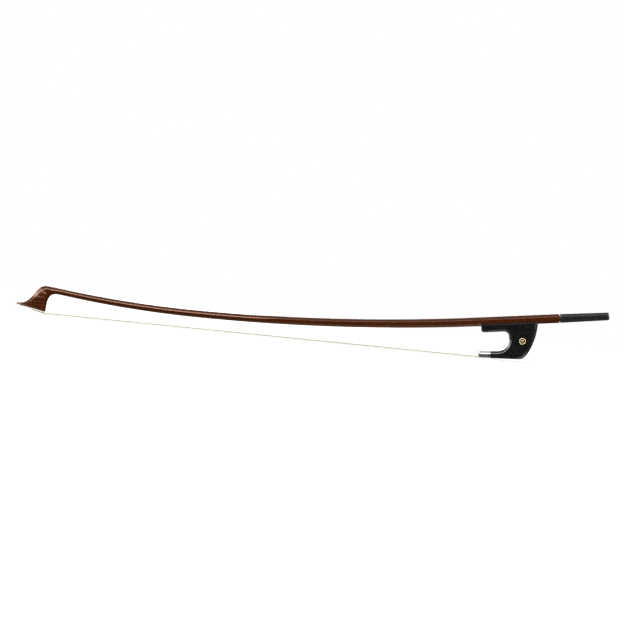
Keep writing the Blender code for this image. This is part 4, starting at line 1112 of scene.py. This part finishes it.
class Nodes:
    """A node tree whose nodes are made by short calls."""

    def __init__(self, tree):
        self.tree = tree

    def node(self, kind, inputs, output=0, **settings):
        """Adds a node, sets or links its inputs and gives one of its outputs."""
        made = self.tree.nodes.new("ShaderNode" + kind)
        for key, value in settings.items():
            setattr(made, key, value)
        for key, value in inputs.items():
            if isinstance(value, bpy.types.NodeSocket):
                self.tree.links.new(value, made.inputs[key])
            else:
                made.inputs[key].default_value = value
        return made.outputs[output]

    def ray(self, kind):
        return self.node("LightPath", {}, kind)

    def place(self, scale=(1, 1, 1), kind="Object"):
        """Texture coordinates, scaled."""
        spot = self.node("TexCoord", {}, kind)
        return self.node("Mapping", {"Vector": spot, "Scale": scale})

    def part(self, vector, axis):
        return self.node("SeparateXYZ", {0: vector}, axis)

    def noise(self, vector, detail=3.0, roughness=0.5):
        inputs = {"Vector": vector, "Scale": 1.0, "Detail": detail, "Roughness": roughness}
        return self.node("TexNoise", inputs)

    def grain(self, scale, detail=3.0, roughness=0.5, kind="Object"):
        """Noise that is stretched by its scale."""
        return self.noise(self.place(scale, kind), detail, roughness)

    def math(self, operation, a, b=0.0):
        return self.node("Math", {0: a, 1: b}, operation=operation)

    def times(self, a, b):
        return self.math("MULTIPLY", a, b)

    def plus(self, a, b):
        return self.math("ADD", a, b)

    def ramp(self, value, stops):
        made = self.tree.nodes.new("ShaderNodeValToRGB")
        self.tree.links.new(value, made.inputs[0])
        points = made.color_ramp.elements
        points.remove(points[1])
        points[0].position, points[0].color = stops[0][0], (*stops[0][1], 1.0)
        for position, colour in stops[1:]:
            points.new(position).color = (*colour, 1.0)
        return made.outputs[0]

    def span(self, value, low, high, start=0.0, end=1.0):
        """Carries a value from one range to another."""
        inputs = {"Value": value, "From Min": start, "From Max": end, "To Min": low, "To Max": high}
        return self.node("MapRange", inputs)

    def blended(self, factor, a, b, blend_type="MIX"):
        inputs = {0: factor, 6: a, 7: b}
        return self.node("Mix", inputs, 2, data_type="RGBA", blend_type=blend_type)


class Look(Nodes):
    """A material and what its nodes lead to."""

    def __init__(self, name, settings):
        self.material = bpy.data.materials.new(name)
        self.material.use_nodes = True
        super().__init__(self.material.node_tree)
        self.shader = self.tree.nodes["Principled BSDF"]
        for socket, value in settings.items():
            self.shader.inputs[socket].default_value = value

    def edges(self, radius):
        """Near 1 on convex and concave edges, 0 on flat places."""
        soft = self.node("Bevel", {"Radius": radius}, samples=6)
        true = self.node("NewGeometry", {}, "Normal")
        dot = self.node("VectorMath", {0: soft, 1: true}, "Value", operation="DOT_PRODUCT")
        return self.span(dot, 1.0, 0.0, 0.82, 0.985)

    def finish(self, colour=None, roughness=None, height=None, depth=0.00002, strength=1.0):
        if colour:
            self.tree.links.new(colour, self.shader.inputs["Base Color"])
        if roughness:
            self.tree.links.new(roughness, self.shader.inputs["Roughness"])
        if height:
            inputs = {"Height": height, "Distance": depth, "Strength": strength}
            self.tree.links.new(self.node("Bump", inputs), self.shader.inputs["Normal"])
        return self.material


def grey(level):
    return (level, level, level)


def lacquer_look():
    """Red-brown gloss lacquer over braided carbon fibre, which glimmers through it in diamonds."""
    settings = {"Coat Weight": 0.4, "Coat Roughness": 0.05, "Specular IOR Level": 0.8}
    look = Look("stick_lacquer", settings | {"Specular Tint": (1.0, 0.5, 0.3, 1.0)})
    spot = look.node("TexCoord", {}, "UV")
    run = look.part(spot, "X")
    along = look.times(run, 2 * pi / BRAID_LENGTH)
    around = look.times(look.part(spot, "Y"), 2 * pi * BRAIDS_AROUND)
    right = look.math("SINE", look.plus(along, around))
    left = look.math("SINE", look.math("SUBTRACT", along, around))
    weave = look.span(look.times(right, left), 0.0, 1.0, -0.25, 0.25)
    fibre = look.grain((150, 2400, 2400), 2.0)
    patch = look.grain((6, 40, 40))
    deep = look.ramp(patch, [(0.3, (0.03, 0.0042, 0.0001)), (0.7, (0.045, 0.007, 0.0003))])
    warm = look.ramp(fibre, [(0.3, (0.045, 0.0072, 0.0004)), (0.75, (0.075, 0.014, 0.0015))])
    colour = look.blended(look.span(weave, 0.05, 0.5), deep, warm)
    clear = look.span(run, 1.0, 0.2, *BRAID_FADE)
    glint = look.times(look.math("SUBTRACT", weave, 0.5), clear)
    return look.finish(colour, look.span(glint, 0.34, 0.1, -0.5, 0.5), fibre, 0.00003, 0.12)


def ebony_look(name, lowest, highest, roughness, wander):
    """Polished black wood with short pores along its grain, a little wear on its edges, and painted
    sheen where it doesn't face sideways.
    """
    look = Look(name, {"Specular IOR Level": 0.6})
    grain = look.grain((60, 900, 700), 4.0, 0.6)
    pits = look.span(look.grain((700, 5200, 5200), 1.0, 0.4), 1.0, 0.0, 0.28, 0.36)
    wood = look.ramp(grain, [(0.3, lowest), (0.72, highest)])
    rubbed = look.times(look.edges(0.0006), 0.35)
    wood = look.blended(rubbed, wood, (0.04, 0.037, 0.035, 1.0))
    # Painted sheen: faces that don't face sideways (rims, bevels, top and underside) are painted
    # paler grey in place of the reflections they catch; the same faces are also made a little
    # rougher, as wear.
    aside = look.math("ABSOLUTE", look.part(look.node("TexCoord", {}, "Normal"), "Y"))
    painted_sheen_and_wear = look.span(aside, 1.0, 0.0, 0.8, 0.98)
    colour = look.blended(look.times(painted_sheen_and_wear, 0.6), wood, (0.03, 0.0285, 0.0275, 1.0))
    smear = look.plus(look.grain((90, 90, 90)), grain)
    rough = look.span(smear, roughness, roughness + wander, 0.6, 1.4)
    rough = look.plus(rough, look.times(painted_sheen_and_wear, 0.08))
    height = look.math("SUBTRACT", look.times(grain, 0.4), pits)
    return look.finish(colour, rough, height, 0.000007, 3 * wander)


def metal_look(name, bright, dull, roughness):
    """Drawn and polished metal with faint scratches and patches of tarnish."""
    look = Look(name, {"Metallic": 1.0})
    patch = look.grain((260, 260, 260), 4.0, 0.6)
    scratch = look.grain((500, 14000, 14000), 2.0)
    colour = look.ramp(patch, [(0.25, dull), (0.6, bright)])
    worn = look.plus(patch, scratch)
    rough = look.span(worn, roughness, roughness + 0.12, 0.6, 1.5)
    return look.finish(colour, rough, scratch, 0.000008, 0.3)


def pearl_look(name, gold):
    """Mother-of-pearl: wavy layers that turn from cream to pink and green, or the gold kind."""
    film = {"Thin Film Thickness": 420.0, "Thin Film IOR": 1.5}
    look = Look(name, film | {"Coat Weight": 1.0, "Coat Roughness": 0.06})
    bent = look.grain((150, 150, 150), 2.0)
    waves = look.noise(look.node("VectorMath", {0: look.place((160, 500, 300)), 1: bent}), 4.0)
    stops = [
        (0.3, (0.5, 0.56, 0.5)),
        (0.44, (0.78, 0.74, 0.62)),
        (0.52, (0.72, 0.56, 0.55)),
        (0.6, (0.5, 0.66, 0.58)),
        (0.72, (0.86, 0.84, 0.76)),
    ]
    colour = look.blended(gold, look.ramp(waves, stops), (0.66, 0.47, 0.16, 1.0), "MULTIPLY")
    return look.finish(colour, look.span(waves, 0.18, 0.34), waves, 0.00002, 0.4)


def plate_look():
    """White polished plastic, a little yellow where dirt settles along its edges."""
    look = Look("tip_plate", {"Coat Weight": 0.3, "Coat Roughness": 0.12})
    cloud = look.grain((300, 700, 700), 4.0)
    scratch = look.grain((900, 9000, 9000), 2.0)
    ivory = look.ramp(cloud, [(0.3, (0.8, 0.775, 0.71)), (0.65, (0.9, 0.885, 0.84))])
    dirt = look.times(look.edges(0.0004), 0.3)
    colour = look.blended(dirt, ivory, (0.66, 0.6, 0.48, 1.0))
    return look.finish(colour, look.span(scratch, 0.22, 0.42), scratch, 0.000006, 0.5)


def plug_look():
    look = Look("plug_wood", {})
    rings = look.grain((80, 1100, 500), 4.0, 0.6)
    pores = look.grain((600, 6000, 6000), 1.0)
    colour = look.ramp(rings, [(0.3, (0.34, 0.22, 0.11)), (0.7, (0.6, 0.44, 0.26))])
    height = look.plus(rings, pores)
    return look.finish(colour, look.span(pores, 0.5, 0.75), height, 0.00004, 0.6)


def hair_look():
    """Horsehair: each hair its own pale yellow, darker here and there along its length."""
    settings = {"Sheen Weight": 0.15, "Sheen Roughness": 0.4}
    look = Look("horsehair", settings | {"Specular IOR Level": 0.4})
    along = look.grain((30, 90, 1), 2.0, kind="UV")
    each = look.part(look.place(kind="UV"), "Y")
    tone = look.plus(look.times(each, 0.6), look.times(along, 0.4))
    stops = [(0.1, (0.5, 0.44, 0.26)), (0.4, (0.74, 0.7, 0.5)), (0.8, (0.86, 0.84, 0.68))]
    scales = look.grain((9000, 90, 1), 1.0, kind="UV")
    return look.finish(look.ramp(tone, stops), look.span(along, 0.34, 0.55), scales, 0.000004, 0.4)


def thread_look():
    look = Look("linen_thread", {"Sheen Weight": 0.3})
    twist = look.grain((4000, 4000, 4000), 2.0)
    colour = look.ramp(twist, [(0.3, (0.5, 0.45, 0.36)), (0.7, (0.72, 0.68, 0.58))])
    return look.finish(colour, look.span(twist, 0.6, 0.85), twist, 0.00003, 0.8)


def make_looks():
    dark = ((0.003, 0.003, 0.0034), (0.0075, 0.0072, 0.0075))
    grey_black = ((0.004, 0.004, 0.0044), (0.0095, 0.009, 0.0095))
    return {
        "lacquer": lacquer_look(),
        "ebony": ebony_look("frog_ebony", *dark, 0.1, 0.1),
        "button": ebony_look("button_ebony", *grey_black, 0.18, 0.04),
        "plate": plate_look(),
        "plug": plug_look(),
        "hair": hair_look(),
        "thread": thread_look(),
        "steel": metal_look("steel", (0.58, 0.58, 0.59), (0.42, 0.42, 0.43), 0.22),
        "brass": metal_look("brass", (0.74, 0.55, 0.26), (0.5, 0.34, 0.14), 0.22),
        "gold": metal_look("gilt_brass", (0.62, 0.52, 0.27), (0.48, 0.37, 0.17), 0.36),
        "silver": metal_look("nickel_silver", (0.74, 0.73, 0.71), (0.6, 0.59, 0.57), 0.1),
        "pearl": pearl_look("pearl", 0.0),
        "gold_pearl": pearl_look("gold_pearl", 0.9),
    }


def dress_solids(looks):
    """Gives each solid that stays in sight its material."""
    kept = {
        "ebony": ["head_plate_liner", "slide"],
        "plug": ["head_plug", "ferrule_wedge", "frog_plug"],
        "steel": ["adjusting_screw", "liner_screw_front", "liner_screw_rear"],
        "brass": ["screw_bush_rear", "screw_bush_front", "eyelet"],
        "silver": ["button_collar", "frog_liner"],
        "pearl": ["slide_pearl"],
    }
    for look, nodes in kept.items():
        for node in nodes:
            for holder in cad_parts[node].material_slots:
                holder.material = looks[look]


# The studio


FLOOR_HEIGHT = -0.0003
FLOOR_REACH = 8.0
WHITE = (1.0, 1.0, 1.0, 1.0)
SOFT_LIGHT = (0.5, 1.35)
SOFT_FADE = (-0.2, 0.9)
FLOOR_FADE = (0.45, 1.5)
FLOOR_LIFT = 0.42
BELT_LIGHT = 10.0
BACKDROP_LIGHT = 0.6
BACKDROP_FADE = (-0.2, 0.7)
TABLE_LIGHT = (0.06, 0.05)
CARD_LIGHT = 1.3
CARD_START = 0.212
CARD_END = 0.285
CARD_FRONT = -0.028
CARD_BACK = 0.01
CARD_FADE = 0.008
BELT_HEIGHTS = [(0.0, 0.003), (0.22, 0.004), (0.3, 1.0), (0.5, 0.9), (0.58, 0.05), (1.0, 0.045)]
STRIP_PLACES = [(0.33, 0.0), (0.41, 0.5), (0.76, 0.45), (0.85, 0.1), (1.0, 0.08)]
STRIP_TOP = 0.45
STRIP_FADE = 0.1
BELT = [(height, grey(level)) for height, level in BELT_HEIGHTS]
STRIPS = [(place, grey(level)) for place, level in STRIP_PLACES]
LAMP_PLACE = Vector((0.0, -0.2, 1.2))
LAMP_AIM = Vector((0.0, 0.0, 0.03))
LAMP_WIDTH = 2.2
LAMP_DEPTH = 0.7
LAMP_POWER = 4.0
PHOTO_ROLL = radians(5.7)
LENS = 135
SENSOR = 36
SHOWN_WIDTH = 0.815
CLIP_NEAR = 0.05
CLIP_FAR = 50.0


def make_world():
    """White to the camera, soft and even on the object, and a studio to glossy surfaces.

    The studio is dim in front, pale behind, with a belt of lamps above and strips at the sides.
    """
    world = bpy.data.worlds.new("studio")
    bpy.context.scene.world = world
    world.use_nodes = True
    nodes = Nodes(world.node_tree)
    way = nodes.node("TexCoord", {}, "Generated")
    across, deep, high = [nodes.part(way, axis) for axis in "XYZ"]
    low = nodes.span(high, 1.0, 0.0, STRIP_TOP - STRIP_FADE, STRIP_TOP)
    strips = nodes.times(nodes.ramp(nodes.math("ABSOLUTE", across), STRIPS), low)
    lamps = nodes.times(nodes.math("MAXIMUM", nodes.ramp(high, BELT), strips), BELT_LIGHT)
    studio = nodes.math("MAXIMUM", lamps, nodes.span(deep, 0.0, BACKDROP_LIGHT, *BACKDROP_FADE))
    soft = nodes.span(high, *SOFT_LIGHT, *SOFT_FADE)
    colour = nodes.blended(nodes.ray("Is Glossy Ray"), soft, studio)
    seen = nodes.math("MAXIMUM", nodes.ray("Is Camera Ray"), nodes.ray("Is Transmission Ray"))
    colour = nodes.blended(seen, colour, WHITE)
    nodes.tree.links.new(colour, nodes.tree.nodes["Background"].inputs["Color"])


def card_light(look):
    """Light from a white card that lies on the table under the frog."""
    along, across = [look.part(look.place(), axis) for axis in "XY"]
    edges = [
        (along, CARD_START - CARD_FADE, CARD_START),
        (look.plus(along, across), CARD_END + CARD_FADE, CARD_END),
        (across, CARD_FRONT - CARD_FADE, CARD_FRONT),
        (across, CARD_BACK + CARD_FADE, CARD_BACK),
    ]
    light = CARD_LIGHT
    for reach, dark, bright in edges:
        light = look.times(look.span(reach, 0.0, 1.0, dark, bright), light)
    return light


def make_floor():
    """A plain white floor that keeps the bow's shadow, lifted to the backdrop's white far off.

    Glossy surfaces mirror it as a dark table with the card on it.
    """
    shape = bmesh.new()
    reach = FLOOR_REACH
    corners = ((-reach, -reach), (reach, -reach), (reach, reach), (-reach, reach))
    shape.faces.new([shape.verts.new((x, y, FLOOR_HEIGHT)) for x, y in corners])
    floor = raw_object("studio_floor", shape)
    settings = {"Roughness": 0.9, "Specular IOR Level": 0.0, "Emission Color": WHITE}
    look = Look("floor_white", settings)
    white = look.ramp(look.grain((3, 3, 3), 2.0), [(0.3, grey(0.84)), (0.7, grey(0.86))])
    away = look.node("VectorMath", {0: look.place()}, "Value", operation="LENGTH")
    table = look.span(away, *TABLE_LIGHT, *FLOOR_FADE)
    mirrored = look.ray("Is Glossy Ray")
    look.finish(look.blended(mirrored, white, table))
    lift = look.span(away, 0.0, FLOOR_LIFT, *FLOOR_FADE)
    lift = look.times(look.ray("Is Camera Ray"), lift)
    card = look.times(mirrored, card_light(look))
    look.tree.links.new(look.plus(lift, card), look.shader.inputs["Emission Strength"])
    floor.data.materials.append(look.material)


def make_lamp():
    """A wide lamp overhead that glossy surfaces don't mirror."""
    data = bpy.data.lights.new("overhead", "AREA")
    data.shape = "RECTANGLE"
    data.size = LAMP_WIDTH
    data.size_y = LAMP_DEPTH
    data.energy = LAMP_POWER
    lamp = added("overhead", data)
    lamp.location = LAMP_PLACE
    lamp.rotation_euler = (LAMP_AIM - LAMP_PLACE).to_track_quat("-Z", "Y").to_euler()
    lamp.visible_glossy = False


def make_camera():
    """Side on, from far off, rolled as the photograph's frog half is."""
    low, high = cad_box
    middle = (low + high) / 2
    distance = SHOWN_WIDTH * LENS / SENSOR
    data = bpy.data.cameras.new("camera")
    data.lens = LENS
    data.sensor_width = SENSOR
    data.clip_start = CLIP_NEAR
    data.clip_end = CLIP_FAR
    camera = added("camera", data)
    spin = Matrix.Rotation(pi / 2, 4, "X") @ Matrix.Rotation(PHOTO_ROLL, 4, "Z")
    camera.matrix_world = Matrix.Translation((middle.x, middle.y - distance, middle.z)) @ spin
    bpy.context.scene.camera = camera


def build():
    bpy.context.scene.view_settings.view_transform = "Standard"
    looks = make_looks()
    make_stick(looks)
    make_plate(looks)
    make_hair(looks)
    make_knots(looks)
    make_button(looks)
    make_frog(looks)
    make_eyes(looks)
    make_ferrule(looks)
    dress_solids(looks)
    make_world()
    make_floor()
    make_lamp()
    make_camera()


build()
